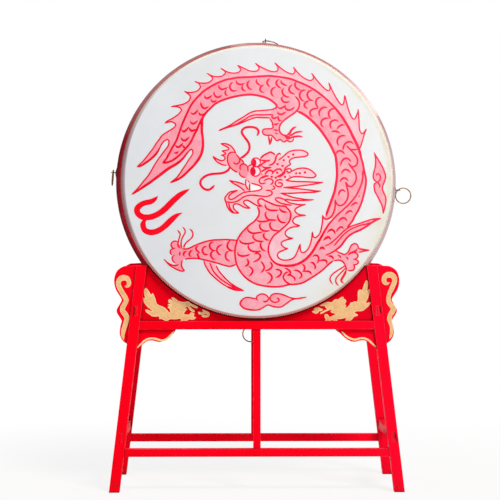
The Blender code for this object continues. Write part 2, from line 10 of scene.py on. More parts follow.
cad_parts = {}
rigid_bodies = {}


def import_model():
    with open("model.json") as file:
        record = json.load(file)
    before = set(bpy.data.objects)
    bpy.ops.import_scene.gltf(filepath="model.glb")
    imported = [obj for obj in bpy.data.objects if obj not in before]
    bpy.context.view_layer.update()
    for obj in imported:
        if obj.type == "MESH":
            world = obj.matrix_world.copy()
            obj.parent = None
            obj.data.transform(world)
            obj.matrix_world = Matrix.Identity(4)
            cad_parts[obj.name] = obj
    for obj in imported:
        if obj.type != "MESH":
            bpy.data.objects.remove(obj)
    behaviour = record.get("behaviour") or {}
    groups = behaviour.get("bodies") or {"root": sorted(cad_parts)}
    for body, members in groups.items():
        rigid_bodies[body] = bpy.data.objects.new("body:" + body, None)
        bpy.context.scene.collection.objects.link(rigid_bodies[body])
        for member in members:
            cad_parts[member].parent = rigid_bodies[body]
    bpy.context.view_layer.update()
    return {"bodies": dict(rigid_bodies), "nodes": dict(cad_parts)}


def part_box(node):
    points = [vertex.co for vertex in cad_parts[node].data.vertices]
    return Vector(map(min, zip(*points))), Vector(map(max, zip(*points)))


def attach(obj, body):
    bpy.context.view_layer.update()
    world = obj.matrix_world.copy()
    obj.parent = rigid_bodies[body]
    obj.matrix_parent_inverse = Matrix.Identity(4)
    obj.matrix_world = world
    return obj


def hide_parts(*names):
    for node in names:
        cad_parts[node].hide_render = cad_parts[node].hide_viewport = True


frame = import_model()
nodes = frame["nodes"]

for name in ("Cube", "Light", "Camera"):                     # the file that Blender opens with
    if name in bpy.data.objects:
        bpy.data.objects.remove(bpy.data.objects[name])

drumLow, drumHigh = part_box("drum_shell")
drumMiddle = (drumLow + drumHigh) / 2
drumMiddle.y = 0.0
bellyRadius = (drumHigh.z - drumLow.z) / 2
halfSpan = -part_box("front_head")[0].y


# Camera and room

cameraValues = {
    "place": (-0.1517, -7.28, 0.99),
    "right": 0.85,          # degrees that it is turned to the right
    "down": 0.73,           # degrees that it looks down
    "lens": 136.1,
    "sensor": 36.0,
    "sees": 200.0,          # how far it sees, in metres
}
lampValues = {              # name: place, size of the lamp, power, colour
    "keyLamp": ((3.0, -7.0, 8.0), 3.4, 820, (1.0, 0.985, 0.95)),
    "fillLamp": ((-4.2, -5.4, 2.0), 3.0, 60, (0.94, 0.97, 1.0)),
    "backLamp": ((0.9, 3.8, 3.0), 2.4, 45, (1.0, 1.0, 1.0)),
    "behindLamp": ((-2.6, 4.2, 4.2), 2.0, 50, (1.0, 1.0, 1.0)),
}
lampAim = Vector((0.0, 0.0, 0.9))
roomValues = {
    "skyForLight": 0.40,
    "floorColour": 0.80,
    "floorWhite": 0.80,     # share of the floor that is plain white to the camera, near the stand
    "paperEdge": (1.1, 2.6),    # distance over which it becomes all white
    "floorSize": 60.0,
}


def addObject(name, data):
    thing = bpy.data.objects.new(name, data)
    bpy.context.scene.collection.objects.link(thing)
    return thing


def makeCamera(values):
    data = bpy.data.cameras.new("photoCamera")
    data.lens = values["lens"]
    data.sensor_width = values["sensor"]
    data.clip_end = values["sees"]
    camera = addObject("photoCamera", data)
    camera.location = values["place"]
    camera.rotation_euler = (math.radians(90 - values["down"]), 0, math.radians(-values["right"]))
    bpy.context.scene.camera = camera


def makeLamps(lamps):
    for name, (place, size, power, colour) in lamps.items():
        data = bpy.data.lights.new(name, "AREA")
        data.shape = "DISK"
        data.size = size
        data.energy = power
        data.color = colour
        lamp = addObject(name, data)
        lamp.location = place
        lamp.rotation_euler = (lampAim - Vector(place)).to_track_quat("-Z", "Y").to_euler()


# Shader building: a Wire is a socket that sums can be written with

class Wire:
    def __init__(self, finish, socket):
        self.finish = finish
        self.socket = socket

    def __add__(self, other):
        return self.finish.maths("ADD", self, other)

    def __sub__(self, other):
        return self.finish.maths("SUBTRACT", self, other)

    def __rsub__(self, other):
        return self.finish.maths("SUBTRACT", other, self)

    def __mul__(self, other):
        return self.finish.maths("MULTIPLY", self, other)

    def __pow__(self, other):
        return self.finish.maths("POWER", self, other)

    def __rpow__(self, other):
        return self.finish.maths("POWER", other, self)

    __radd__ = __add__
    __rmul__ = __mul__


class Finish:
    def __init__(self, name, kinds=None, end="OutputMaterial"):
        self.material = (bpy.data.materials if kinds is None else kinds).new(name)
        self.material.use_nodes = True
        self.tree = self.material.node_tree
        self.tree.nodes.clear()
        self.end = end

    def join(self, value, socket):
        if isinstance(value, Wire):
            self.tree.links.new(value.socket, socket)
        elif isinstance(value, tuple) and socket.type == "RGBA":
            socket.default_value = (*value, 1.0)
        else:
            socket.default_value = value

    def node(self, kind, settings=None, sockets=None, result=0):
        node = self.tree.nodes.new("ShaderNode" + kind)
        for key, value in (settings or {}).items():
            if key == "stops":
                while len(node.color_ramp.elements) < len(value):
                    node.color_ramp.elements.new(0.5)
                for stop, (place, colour) in zip(node.color_ramp.elements, value):
                    stop.position = place
                    stop.color = (*colour, 1.0)
            else:
                setattr(node, key, value)
        for key, value in (sockets or {}).items():
            self.join(value, node.inputs[key])
        return Wire(self, node.outputs[result]) if node.outputs else None

    def maths(self, operation, first, second):
        return self.node("Math", {"operation": operation}, {0: first, 1: second})

    def most(self, first, second):
        return self.maths("MAXIMUM", first, second)

    def mix(self, share, first, second, way="MIX"):
        settings = {"data_type": "RGBA", "blend_type": way, "clamp_factor": True}
        return self.node("Mix", settings, {0: share, 6: first, 7: second}, result=2)

    def ramp(self, value, *stops):
        return self.node("ValToRGB", {"stops": stops}, {0: value})

    def between(self, value, low, high):
        return self.node("MapRange", {"clamp": True}, {0: value, 1: low, 2: high})

    def place(self):
        return self.node("TexCoord", result=3)

    def stretched(self, scale):
        return self.node("Mapping", None, {0: self.place(), 3: scale})

    def grain(self, scale, detail=3.0, rough=0.5, at=None, warp=0.0):
        sockets = {"Vector": at or self.place(), "Scale": scale, "Detail": detail, "Roughness": rough}
        return self.node("TexNoise", None, {**sockets, "Distortion": warp})

    def cells(self, scale):
        return self.node("TexVoronoi", None, {"Vector": self.place(), "Scale": scale})

    def heights(self):
        split = self.node("SeparateXYZ", None, {0: self.place()})
        return [Wire(self, split.socket.node.outputs[axis]) for axis in range(3)]

    def fromAxis(self):
        # how far right of the drum's axis, how far above it and how far from it
        x, _, z = self.heights()
        right, up = x - drumMiddle.x, z - drumMiddle.z
        return right, up, (right * right + up * up) ** 0.5

    def alongDrum(self):
        # how far from the drum's middle, towards either head
        _, y, _ = self.heights()
        return self.node("Math", {"operation": "ABSOLUTE"}, {0: y})

    def seen(self):
        # 1 for what the camera sees straight, in a reflection or through glass
        path = self.node("LightPath").socket.node.outputs
        rays = ("Camera", "Glossy", "Transmission")
        camera, glossy, through = (Wire(self, path[f"Is {ray} Ray"]) for ray in rays)
        return self.most(self.most(camera, glossy), through)

    def arrisMask(self, radius):
        # 1 on an arris, 0 on a flat face
        soft = self.node("Bevel", {"samples": 4}, {"Radius": radius})
        flat = self.node("NewGeometry", result=1)
        alike = self.node("VectorMath", {"operation": "DOT_PRODUCT"}, {0: soft, 1: flat}, result=1)
        return 1 - self.between(alike, 0.90, 0.995)

    def bump(self, height, strength, distance):
        return self.node("Bump", None, {"Strength": strength, "Distance": distance, "Height": height})

    def surface(self, sockets):
        self.finishWith(self.node("BsdfPrincipled", None, sockets))
        return self.material

    def finishWith(self, shader):
        self.node(self.end, None, {"Surface": shader})


def makeRoom(values):
    sky = Finish("studio", bpy.data.worlds, "OutputWorld")
    bpy.context.scene.world = sky.material
    level = values["skyForLight"] + (1 - values["skyForLight"]) * sky.seen()
    sky.finishWith(sky.node("Background", None, {"Color": (1.0, 1.0, 1.0), "Strength": level}))

    paper = Finish("floorPaper")
    speck = paper.between(paper.grain(3.0, 4.0), 0.3, 0.7)
    level = values["floorColour"]
    lit = paper.node("BsdfDiffuse", None, {0: paper.mix(speck, (level * 0.99,) * 3, (level,) * 3)})
    shown = paper.node("Emission", None, {0: (1.0, 1.0, 1.0), 1: 1.0})
    right, front, _ = paper.heights()
    far = paper.between((right * right + front * front) ** 0.5, *values["paperEdge"])
    white = values["floorWhite"] + (1 - values["floorWhite"]) * far
    paper.finishWith(paper.node("MixShader", None, {0: white * paper.seen(), 1: lit, 2: shown}))
    half = values["floorSize"] / 2
    corners = [(-half, -half, 0), (half, -half, 0), (half, half, 0), (-half, half, 0)]
    mesh = bpy.data.meshes.new("floor")
    mesh.from_pydata(corners, [], [(0, 1, 2, 3)])
    mesh.materials.append(paper.material)
    floor = addObject("floor", mesh)


makeCamera(cameraValues)
makeLamps(lampValues)
makeRoom(roomValues)
bpy.context.scene.view_settings.view_transform = "Standard"
print("camera, lamps and room")


# Finishes. Two numbers together are where a tone begins and where it is full, in metres.

paintValues = {
    "red": (0.820, 0.0006, 0.0075),
    "deepRed": (0.560, 0.0002, 0.0035),
    "brightRed": (0.910, 0.0010, 0.0140),
    # painted light: a lighter, rosier red towards the right
    "litRed": (0.900, 0.0040, 0.0340),
    "litRedRight": (0.15, 0.50),
    "highlightRed": (1.000, 0.150, 0.215),       # painted highlight along the arrises, in patches
    "arris": 0.0026,
    "dirtAndShade": (0.130, 0.004, 0.004),
    "dirtAndShadeReach": 0.012,                     # from a joint or recess
    # painted shadow along the cradle cut
    "cradleShadow": (0.035, 0.002, 0.002),
    "cradleShadowOut": (0.5132, 0.5166),            # from the drum's axis, where it ends
    "kicked": (0.24, 0.012, 0.010),
    "kickedUp": (0.004, 0.055),             # from the floor, where it ends
    "roughness": (0.26, 0.42),
    "board": 0.80,                          # the boards' share of the red's strength, as painted shade under the drum
}
brushScales = {
    "redUpright": (170, 170, 4.5),
    "redAcross": (4.5, 170, 170),
    "redFrontToBack": (170, 4.5, 170),
}


def redPaint(name, values, depth=1.0, cradle=False):
    # gloss paint on planed wood: brush marks with the grain, painted highlight on the arrises, dirt and
    # painted shade in joints and recesses
    paint = Finish(name)
    along = paint.stretched(brushScales.get(name, brushScales["redAcross"]))
    brush = paint.grain(1.0, 4.0, 0.6, at=along)
    cloud = paint.grain(5.0, 3.0, 0.55, warp=0.4)
    fleck = paint.grain(420.0, 2.0, 0.5)
    x, _, z = paint.heights()
    colour = paint.mix(paint.between(cloud, 0.32, 0.72), values["red"], values["brightRed"])
    # painted light: lighter and rosier towards the right
    colour = paint.mix(paint.between(x, *values["litRedRight"]) * 0.5, colour, values["litRed"])
    # the boards are darker by depth, as painted shade
    colour = paint.mix(1.0, colour, (depth,) * 3, "MULTIPLY")
    colour = paint.mix(paint.between(brush, 0.58, 0.85) * 0.30, colour, values["deepRed"])
    # dirt in the joints, and painted shade in recesses and where parts overhang, from occlusion
    reach = {"Distance": values["dirtAndShadeReach"]}
    seam = paint.node("AmbientOcclusion", {"samples": 6, "only_local": False}, reach, result=1)
    colour = paint.mix((1 - paint.between(seam, 0.30, 0.80)) * 0.92, colour, values["dirtAndShade"])
    if cradle:
        # painted shadow of the drum where the board is cut round it, darker to the left
        right, _, out = paint.fromAxis()
        cloudy = out + paint.grain(30.0, 3.0) * 0.004
        thick = 0.50 + 0.46 * (1 - paint.between(right, -0.22, 0.20))
        colour = paint.mix((1 - paint.between(cloudy, *values["cradleShadowOut"])) * thick, colour, values["cradleShadow"])
    # painted highlight on the arrises, in patches
    patchy = 0.25 + 0.75 * paint.between(paint.grain(17.0, 4.0, 0.6), 0.40, 0.60)
    colour = paint.mix(paint.arrisMask(values["arris"]) * patchy * 0.70, colour, values["highlightRed"])
    scraped = paint.between(paint.grain(60.0, 4.0), 0.42, 0.62)
    kicked = (1 - paint.between(z, *values["kickedUp"])) * scraped
    colour = paint.mix(kicked * 0.55, colour, values["kicked"])
    smooth, dull = values["roughness"]
    rough = smooth + (dull - smooth) * paint.between(brush, 0.3, 0.7) + kicked * 0.3
    return paint.surface({
        "Base Color": colour, "Roughness": rough, "IOR": 1.45, "Specular IOR Level": 0.005,
        "Normal": paint.bump(brush * 0.7 + fleck * 0.12, 0.16, 0.0010),
    })


lacquerValues = {
    "old": ((0.25, (0.130, 0.010, 0.012)), (0.52, (0.230, 0.020, 0.022)), (0.8, (0.340, 0.035, 0.036))),
    "new": ((0.560, 0.003, 0.022), (0.780, 0.005, 0.045)),
    "newOut": (0.165, 0.235),               # from the drum's middle towards the heads
    "cloud": (0.150, 0.010, 0.012),
    "scuff": (0.42, 0.10, 0.08),
    "coat": 0.9,
}


def lacquer(values):
    # dark red-brown lacquer over wooden staves, newer and redder beside the hides
    coat = Finish("shellLacquer")
    grain = coat.grain(1.0, 5.0, 0.6, at=coat.stretched((70.0, 4.0, 70.0)), warp=0.3)
    cloud = coat.grain(7.0, 4.0, 0.6)
    new = coat.mix(coat.between(grain, 0.3, 0.7), *values["new"])
    newer = coat.between(coat.alongDrum(), *values["newOut"]) * 0.85
    colour = coat.mix(newer, coat.ramp(grain, *values["old"]), new)
    colour = coat.mix(coat.between(cloud, 0.3, 0.75) * 0.4, colour, values["cloud"])
    scuff = coat.between(coat.grain(190.0, 3.0, 0.7), 0.64, 0.72)
    colour = coat.mix(scuff * 0.25, colour, values["scuff"])
    # the gloss is worn off the lower left, and elsewhere it shines less at a glance
    right, up, _ = coat.fromAxis()
    glance = coat.node("LayerWeight", None, {"Blend": 0.5}, result=1)
    shiny = coat.between(right, 0.02, 0.35) * (1 - 0.8 * coat.between(up, 0.10, 0.40))
    upperLeft = coat.between(up, 0.16, 0.28) * (1 - coat.between(right, -0.2, 0.0))
    shiny = coat.most(shiny, 0.12 * coat.between(up, 0.25, 0.42) + 0.24 * upperLeft)
    gloss = coat.most(shiny, 0.55 * (1 - coat.between(glance, 0.45, 0.80)))
    return coat.surface({
        "Base Color": colour, "Roughness": 0.26 + 0.16 * coat.between(cloud, 0.3, 0.7) + 0.25 * scuff,
        "Specular IOR Level": 0.0, "Coat Weight": gloss * values["coat"], "Coat Roughness": 0.2,
        "Coat IOR": 1.5, "Normal": coat.bump(grain, 0.12, 0.001),
    })


hideValues = {
    "white": (0.625, 0.645, 0.675),
    "shade": (0.585, 0.603, 0.635),
    "bright": (0.715, 0.728, 0.738),        # painted light, towards the right
    "stain": (0.640, 0.575, 0.400),
    "rim": (0.800, 0.760, 0.660),
    # painted shade on the left and below
    "rimLeft": (0.300, 0.180, 0.182),
    "rimLow": (0.680, 0.300, 0.250),
    "edgeLow": (0.980, 0.700, 0.560),
    # painted shade where the skin curves over the edge, on the left and below
    "edgeShadeLeft": (0.330, 0.245, 0.305),
    "edgeShadeLow": (0.600, 0.400, 0.420),
    "edgeShadeOut": (0.4972, 0.4998),          # from the axis
    "edgeOut": (0.4996, 0.5008),
    "shadedSide": (-0.47, -0.27),              # from the left to here, the rim is in painted shade
    "low": (-0.40, -0.15),                  # from below to here
    "streak": (0.420, 0.300, 0.260),
    # painted shade between the tacks at the hide's cut edge
    "tackShade": (0.060, 0.010, 0.010),
    "tackShadeEdge": (0.2613, 0.2629),          # from the drum's middle towards the heads
}


def rimTone(finish, values, right, up):
    # the turned-over hide: cream at the top right, grey-brown painted shade on the left, pink-brown painted
    # shade below
    leftness = (1 - finish.between(right, *values["shadedSide"])) * (1 - 0.4 * finish.between(up, 0.12, 0.32))
    lowness = (1 - finish.between(up, -0.42, -0.22)) * (1 - 0.35 * finish.between(right, 0.0, 0.2))
    shadeTone = finish.mix(finish.between(up, *values["low"]), values["rimLow"], values["rimLeft"])
    return finish.mix(finish.between(leftness + lowness, 0.0, 1.0), values["rim"], shadeTone)


def hideFinish(values):
    # scraped ox hide: clouded and pored, stained towards the rim, pale where it turns over the edge
    hide = Finish("drumHide")
    right, up, out = hide.fromAxis()
    cloud = hide.grain(3.2, 5.0, 0.62, warp=0.6)
    mottle = hide.grain(19.0, 4.0, 0.6, warp=0.3)
    colour = hide.mix(hide.between(cloud, 0.32, 0.68), values["white"], values["shade"])
    # painted light: lighter towards the right
    colour = hide.mix(hide.between(right, -0.30, 0.46) * 0.9, colour, values["bright"])
    colour = hide.mix(hide.between(mottle, 0.60, 0.85) * 0.16, colour, values["stain"])
    smudge = hide.between(hide.grain(5.5, 5.0, 0.7, warp=0.8), 0.52, 0.70)
    colour = hide.mix(smudge * 0.16, colour, values["stain"])
    rubbed = hide.between(out, 0.435 + 0.044 * hide.between(up, -0.12, 0.06), 0.492)
    patch = 0.35 + 0.65 * hide.between(hide.grain(6.5, 5.0, 0.65, warp=0.5), 0.42, 0.62)
    colour = hide.mix(rubbed * patch * hide.between(right, 0.10, 0.34) * 0.75, colour, values["stain"])
    # painted shade where the flat skin curves over the edge, and the tone of the rim outside it
    left = 1 - hide.between(right, -0.50, -0.38)
    low = 1 - hide.between(up, *values["low"])
    drift = hide.grain(9.0, 3.0)
    tone = rimTone(hide, values, right, up)
    shadedSide = hide.most(low, 1 - hide.between(right, *values["shadedSide"]))
    edgeShade = hide.mix(shadedSide * 0.85, tone, hide.mix(low, values["edgeShadeLeft"], values["edgeShadeLow"]))
    tone = hide.mix(low * hide.between(right, -0.30, 0.0), tone, values["edgeLow"])
    edgeShaded = hide.between(out + 0.0088 * left + drift * 0.002, *values["edgeShadeOut"])
    turnedOver = hide.between(out + 0.0055 * left + drift * 0.001, *values["edgeOut"])
    colour = hide.mix(turnedOver, hide.mix(edgeShaded, colour, edgeShade), tone)
    relief = hide.cells(520.0) * 0.25 + mottle * 0.6 + hide.grain(260.0, 3.0, 0.6) * 0.35
    return hide.surface({
        "Base Color": colour, "Roughness": 0.50 + 0.16 * mottle, "Specular IOR Level": 0.05,
        "Normal": hide.bump(relief, 0.16, 0.0008),
    })


def skirtFinish(values):
    # the hide drawn back over the shell: painted shade at its cut edge between the tacks, stronger on the
    # left, and the rim's tone with its painted shade on the left and below
    skirt = Finish("hideSkirt")
    right, up, _ = skirt.fromAxis()
    cloud = skirt.grain(24.0, 4.0, 0.6, warp=0.4)
    streak = skirt.grain(1.0, 4.0, 0.6, at=skirt.stretched((110.0, 9.0, 110.0)))
    colour = rimTone(skirt, values, right, up)
    colour = skirt.mix(skirt.between(streak, 0.45, 0.7) * 0.30, colour, values["streak"])
    # painted shade at the cut edge, showing between the tacks
    tackShade = 1 - skirt.between(skirt.alongDrum() + cloud * 0.002, *values["tackShadeEdge"])
    shadedSide = 1 - skirt.between(right, -0.30, 0.15)
    colour = skirt.mix(tackShade * (0.30 + 0.65 * shadedSide), colour, values["tackShade"])
    return skirt.surface({
        "Base Color": colour, "Roughness": 0.55 + 0.2 * cloud, "Specular IOR Level": 0.01,
        "Normal": skirt.bump(streak + cloud * 0.5, 0.3, 0.001),
    })


tackTones = {
    "speck": (0.300, 0.180, 0.140),
    "bare": (0.980, 0.840, 0.700),
    "shadeTone": (0.160, 0.026, 0.024),         # painted shade, on the left
    "tarnish": (0.090, 0.060, 0.048),       # upper left
}


def tackFinish(values):
    # tack heads in the rim's tone, light and rubbed bare at the top, bottom and right, darkened on the left
    # as painted shade
    tack = Finish("tackHeads")
    right, up, _ = tack.fromAxis()
    speck = tack.grain(320.0, 3.0, 0.6)
    bare = tack.between(tack.grain(150.0, 3.0), 0.50, 0.64)
    colour = tack.mix(speck * 0.15, rimTone(tack, hideValues, right, up), values["speck"])
    # clean: where no painted shade lies on the tacks
    clean = tack.most(tack.between(up, 0.10, 0.30), 1 - tack.between(up, -0.30, -0.10))
    clean = tack.most(clean, tack.between(right, -0.22, 0.05))
    colour = tack.mix((0.60 + 0.40 * bare) * clean, colour, values["bare"])
    # painted shade on the tacks at the left
    colour = tack.mix((1 - clean) * 0.85, colour, values["shadeTone"])
    tarnished = tack.between(up, 0.02, 0.15) * (1 - tack.between(right, -0.10, 0.05))
    colour = tack.mix(tarnished * 0.85, colour, values["tarnish"])
    return tack.surface({
        "Base Color": colour, "Metallic": 0.30 * bare * clean, "Roughness": 0.34 + 0.2 * speck,
        "Specular IOR Level": 0.05, "Normal": tack.bump(speck, 0.2, 0.0004),
    })


washValues = {              # tone: name, light and strong colour, how much of the strong one
    "pale": ("paleWash", (0.79, 0.520, 0.580), (0.76, 0.260, 0.325), 0.6),
    "pink": ("pinkWash", (0.79, 0.400, 0.460), (0.76, 0.245, 0.315), 0.9),
    "face": ("faceWash", (0.79, 0.470, 0.530), (0.77, 0.360, 0.420), 0.9),
    "horn": ("hornWash", (0.79, 0.530, 0.590), (0.78, 0.420, 0.480), 0.8),
    "nose": ("roseWash", (0.79, 0.300, 0.360), (0.76, 0.210, 0.270), 0.9),
    "white": ("mouthWhite", (0.80, 0.79, 0.805), (0.80, 0.72, 0.76), 0.6),
    "eye": ("eyeWash", (0.79, 0.660, 0.710), (0.79, 0.520, 0.580), 0.8),
}


def washFinish(name, light, strong, share):
    # thin wash brushed on the hide, darker to the left as painted shade
    wash = Finish(name)
    right, _, _ = wash.fromAxis()
    pool = wash.grain(34.0, 4.0, 0.6, warp=0.5)
    fine = wash.grain(240.0, 3.0, 0.6)
    tone = wash.between(pool * 0.7 + fine * 0.3, 0.34, 0.66)
    # painted shade: stronger towards the left
    colour = wash.mix(tone * share + 0.8 * (1 - wash.between(right, -0.40, 0.0)), light, strong)
    return wash.surface({
        "Base Color": colour, "Roughness": 0.52 + 0.14 * pool, "Specular IOR Level": 0.08,
        "Normal": wash.bump(fine, 0.12, 0.0005),
    })


lineValues = {              # name: colour, where the pigment lies deep (also the painted shade to the left), where it is pale (also the painted light to the upper right)
    "redLine": ((0.82, 0.004, 0.038), (0.60, 0.0005, 0.010), (0.86, 0.040, 0.105)),
    "redDark": ((0.70, 0.004, 0.030), (0.46, 0.002, 0.014), (0.95, 0.040, 0.100)),
    "redHook": ((0.84, 0.0015, 0.018), (0.74, 0.0008, 0.011), (0.88, 0.004, 0.030)),
    # painted shadow in the gaps beside the tenons
    "tenonGap": ((0.050, 0.004, 0.004), (0.020, 0.002, 0.002), (0.140, 0.008, 0.010)),
}


def lineFinish(name, colour, deep, pale):
    # opaque brush line, thicker and thinner in pigment, with painted shade to the left and painted light to
    # the upper right
    line = Finish(name)
    load = line.grain(46.0, 4.0, 0.6, warp=0.3)
    dry = line.grain(300.0, 3.0, 0.6)
    shade = line.mix(line.between(load, 0.50, 0.72), colour, deep)
    shade = line.mix(line.between(load * 0.8 + dry * 0.2, 0.50, 0.28) * 0.5, shade, pale)
    right, up, _ = line.fromAxis()
    # painted shade to the left
    shade = line.mix((1 - line.between(right, -0.40, -0.05)) * 0.5, shade, deep)
    # painted light to the upper right
    shade = line.mix(line.between(right + up, 0.05, 0.35) * 0.6, shade, pale)
    return line.surface({
        "Base Color": shade, "Roughness": 0.40 + 0.15 * dry, "Specular IOR Level": 0.06,
        "Normal": line.bump(dry, 0.15, 0.0004),
    })


goldValues = {              # name: dark, light, how metallic
    "goldFill": ((0.62, 0.355, 0.142), (0.79, 0.510, 0.258), 0.2),
    "goldEdge": ((0.72, 0.515, 0.235), (0.84, 0.660, 0.345), 0.15),
}


def goldPaint(name, dark, light, level):
    # bronze powder paint, speckled
    gold = Finish(name)
    speck = gold.grain(230.0, 3.0, 0.65)
    cloud = gold.grain(40.0, 3.0, 0.6)
    colour = gold.mix(gold.between(speck * 0.6 + cloud * 0.4, 0.36, 0.64), dark, light)
    return gold.surface({
        "Base Color": colour, "Roughness": 0.40 + 0.2 * speck, "Specular IOR Level": 0.15,
        "Metallic": level * gold.between(cloud, 0.2, 0.6), "Normal": gold.bump(speck, 0.25, 0.0005),
    })


metalValues = {             # name: dark, bright, worn, roughness, how metallic
    "copperedRing": ((0.150, 0.080, 0.034), (0.420, 0.255, 0.125), (0.620, 0.420, 0.240), 0.28, 0.7),
    "darkIron": ((0.022, 0.016, 0.012), (0.090, 0.060, 0.045), (0.220, 0.140, 0.090), 0.38, 0.85),
    "springSteel": ((0.280, 0.280, 0.290), (0.480, 0.480, 0.490), (0.600, 0.600, 0.600), 0.25, 0.85),
}


def agedMetal(name, dark, bright, worn, rough, metallic):
    metal = Finish(name)
    cloud = metal.grain(90.0, 4.0, 0.6, warp=0.3)
    colour = metal.mix(metal.between(cloud, 0.35, 0.7), dark, bright)
    rubbed = metal.between(metal.grain(30.0, 3.0), 0.52, 0.70)
    colour = metal.mix(rubbed * 0.6, colour, worn)
    return metal.surface({
        "Base Color": colour, "Metallic": metallic, "Roughness": rough + 0.22 * cloud,
        "Normal": metal.bump(cloud + metal.cells(700.0) * 0.4, 0.25, 0.0006),
    })


upright, acrossRed, frontToBackRed = (redPaint(name, paintValues) for name in brushScales)
# the aprons: red darkened as painted shade, with a painted shadow along the cradle
shadedBoardRed = redPaint("redBoard", paintValues, paintValues["board"], cradle=True)
shellCoat = lacquer(lacquerValues)
hideSkin = hideFinish(hideValues)
skirtSkin = skirtFinish(hideValues)
tackMetal = tackFinish(tackTones)
washes = {tone: washFinish(*values) for tone, values in washValues.items()}
redLine, redDark, redHook, gapShadow = (lineFinish(name, *values) for name, values in lineValues.items())
goldFill, goldEdge = (goldPaint(name, *values) for name, values in goldValues.items())
ringMetal, ironMetal, springMetal = (agedMetal(name, *values) for name, values in metalValues.items())
print("finishes:", len(bpy.data.materials))


# Meshes

def outward(turn):
    # the direction away from the drum's axis, at an angle round it
    return Vector((math.cos(turn), 0, math.sin(turn)))


def onDrum(turn, reach, y):
    return drumMiddle + outward(turn) * reach + Vector((0, y, 0))


def circle(builder, middle, first, second, radius, sides):
    # points round a middle, in the plane of two directions
    points = []
    for j in range(sides):
        turn = math.tau * j / sides
        spot = middle + first * radius * math.cos(turn) + second * radius * math.sin(turn)
        points.append(builder.verts.new(spot))
    return points


def joinRings(builder, rings, closed=True):
    # faces from each ring of points to the next one, and from the last to the first if closed
    following = rings[1:] + rings[:1] if closed else rings[1:]
    for here, there in zip(rings, following):
        for j in range(len(here)):
            nextOne = (j + 1) % len(here)
            builder.faces.new((here[j], here[nextOne], there[nextOne], there[j]))


def addSlab(builder, low, high):
    # two outlines with as many points, filled and joined
    builder.faces.new(high)
    builder.faces.new(list(reversed(low)))
    joinRings(builder, [low, high], closed=False)


def placeMesh(name, builder, material, body, angle):
    # the builder's mesh as a piece, with a sharp edge where faces turn by more than the angle
    bmesh.ops.recalc_face_normals(builder, faces=builder.faces)
    mesh = bpy.data.meshes.new(name)
    builder.to_mesh(mesh)
    builder.free()
    mesh.materials.append(material)
    mesh.shade_smooth()
    mesh.set_sharp_from_angle(angle=math.radians(angle))
    piece = addObject(name, mesh)
    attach(piece, body)
    return piece


# Stand: the CAD pieces with softened arrises

standValues = {
    "arris": 0.0016,
    "arrisSteps": 3,
    "arrisAngle": 35,       # degrees that two faces turn by at an arris, or more
    "weld": 0.00001,
}


def weldPoints(piece, values):
    weld = piece.modifiers.new("weld", "WELD")
    weld.merge_threshold = values["weld"]


def softenArrises(piece, values):
    weldPoints(piece, values)
    bevel = piece.modifiers.new("arris", "BEVEL")
    bevel.width = values["arris"]
    bevel.segments = values["arrisSteps"]
    bevel.limit_method = "ANGLE"
    bevel.angle_limit = math.radians(values["arrisAngle"])
    bevel.use_clamp_overlap = True
    bevel.harden_normals = True


def paintFor(name):
    if any(part in name for part in ("leg", "post", "ear")):      # the rear boards too
        return upright
    if "side" in name:
        return frontToBackRed
    return shadedBoardRed if "apron" in name else acrossRed


def dressStand():
    for name, piece in nodes.items():
        if piece.parent == frame["bodies"]["stand"]:
            piece.material_slots[0].material = paintFor(name)
            softenArrises(piece, standValues)
            piece.data.shade_smooth()


dressStand()
print("stand dressed")


# Drum: shell, hides and tacks turned finer than the CAD solids that they replace

drumValues = {
    "mouthRadius": 0.4975,
    "wall": 0.022,
    "rows": 28,             # from one end of the shell to the other
    "lip": 0.002,           # from the shell's end to the hide
    "staves": 40,
    "perStave": 8,
    "seam": 0.00025,        # depth of the line between two staves
    "hide": 0.0025,
    "air": 0.0003,
    "edgeRound": 0.006,
    "edgeSteps": 8,
    "skirt": 0.0245,        # from the head's face to the cut edge of the hide
    "skirtRows": 13,        # of the hide's rows, these have the skirt's finish
    "perTack": 3,           # steps round the hide from one tack to the next
    "pull": 0.00035,        # how far the hide is drawn in at a tack
    "pullRows": 3,
    "ripple": 0.0006,       # how far the cut edge wanders
    "ripples": 9.0,         # and how closely
    "shellSharp": 60,       # degrees that two faces turn by at a sharp edge, or more
    "hideSharp": 50,
}
tackValues = {
    "count": 404,
    "y": 0.2597,
    "radius": 0.0025,
    "rise": 0.0021,
    "sunk": 0.0004,
    "sides": 10,
    "rings": 3,
    "seed": 7,
    "strayTurn": 0.0008,    # radians round the drum
    "strayAlong": 0.0003,
    "lean": 0.1,
    "sharp": 60,
}


def barrelRadius(y):
    return bellyRadius - (bellyRadius - drumValues["mouthRadius"]) * (y / halfSpan) ** 2


def barrelNormal(y):
    slope = -2 * (bellyRadius - drumValues["mouthRadius"]) * y / halfSpan ** 2
    return Vector((1, -slope)).normalized()


def offBarrel(y, lift):
    normal = barrelNormal(y)
    return barrelRadius(y) + lift * normal.x, y + lift * normal.y


def makeShell(values):
    end = halfSpan - values["hide"] - values["air"] - values["lip"]
    ys = [end * (2 * k / values["rows"] - 1) for k in range(values["rows"] + 1)]
    outside = [(barrelRadius(y) - values["air"], y) for y in ys]
    inside = [(barrelRadius(y) - values["wall"], y) for y in reversed(ys)]
    steps = values["staves"] * values["perStave"]
    builder = bmesh.new()
    rings = []
    for k in range(steps):
        turn = math.tau * k / steps
        share = (turn * values["staves"] / math.tau) % 1.0
        dip = values["seam"] * max(0.0, 1 - min(share, 1 - share) * values["perStave"])
        profile = [(radius - dip, y) for radius, y in outside] + inside
        rings.append([builder.verts.new(onDrum(turn, radius, y)) for radius, y in profile])
    joinRings(builder, rings)
    shell = placeMesh("barrelShell", builder, shellCoat, "drum", values["shellSharp"])
    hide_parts("drum_shell")


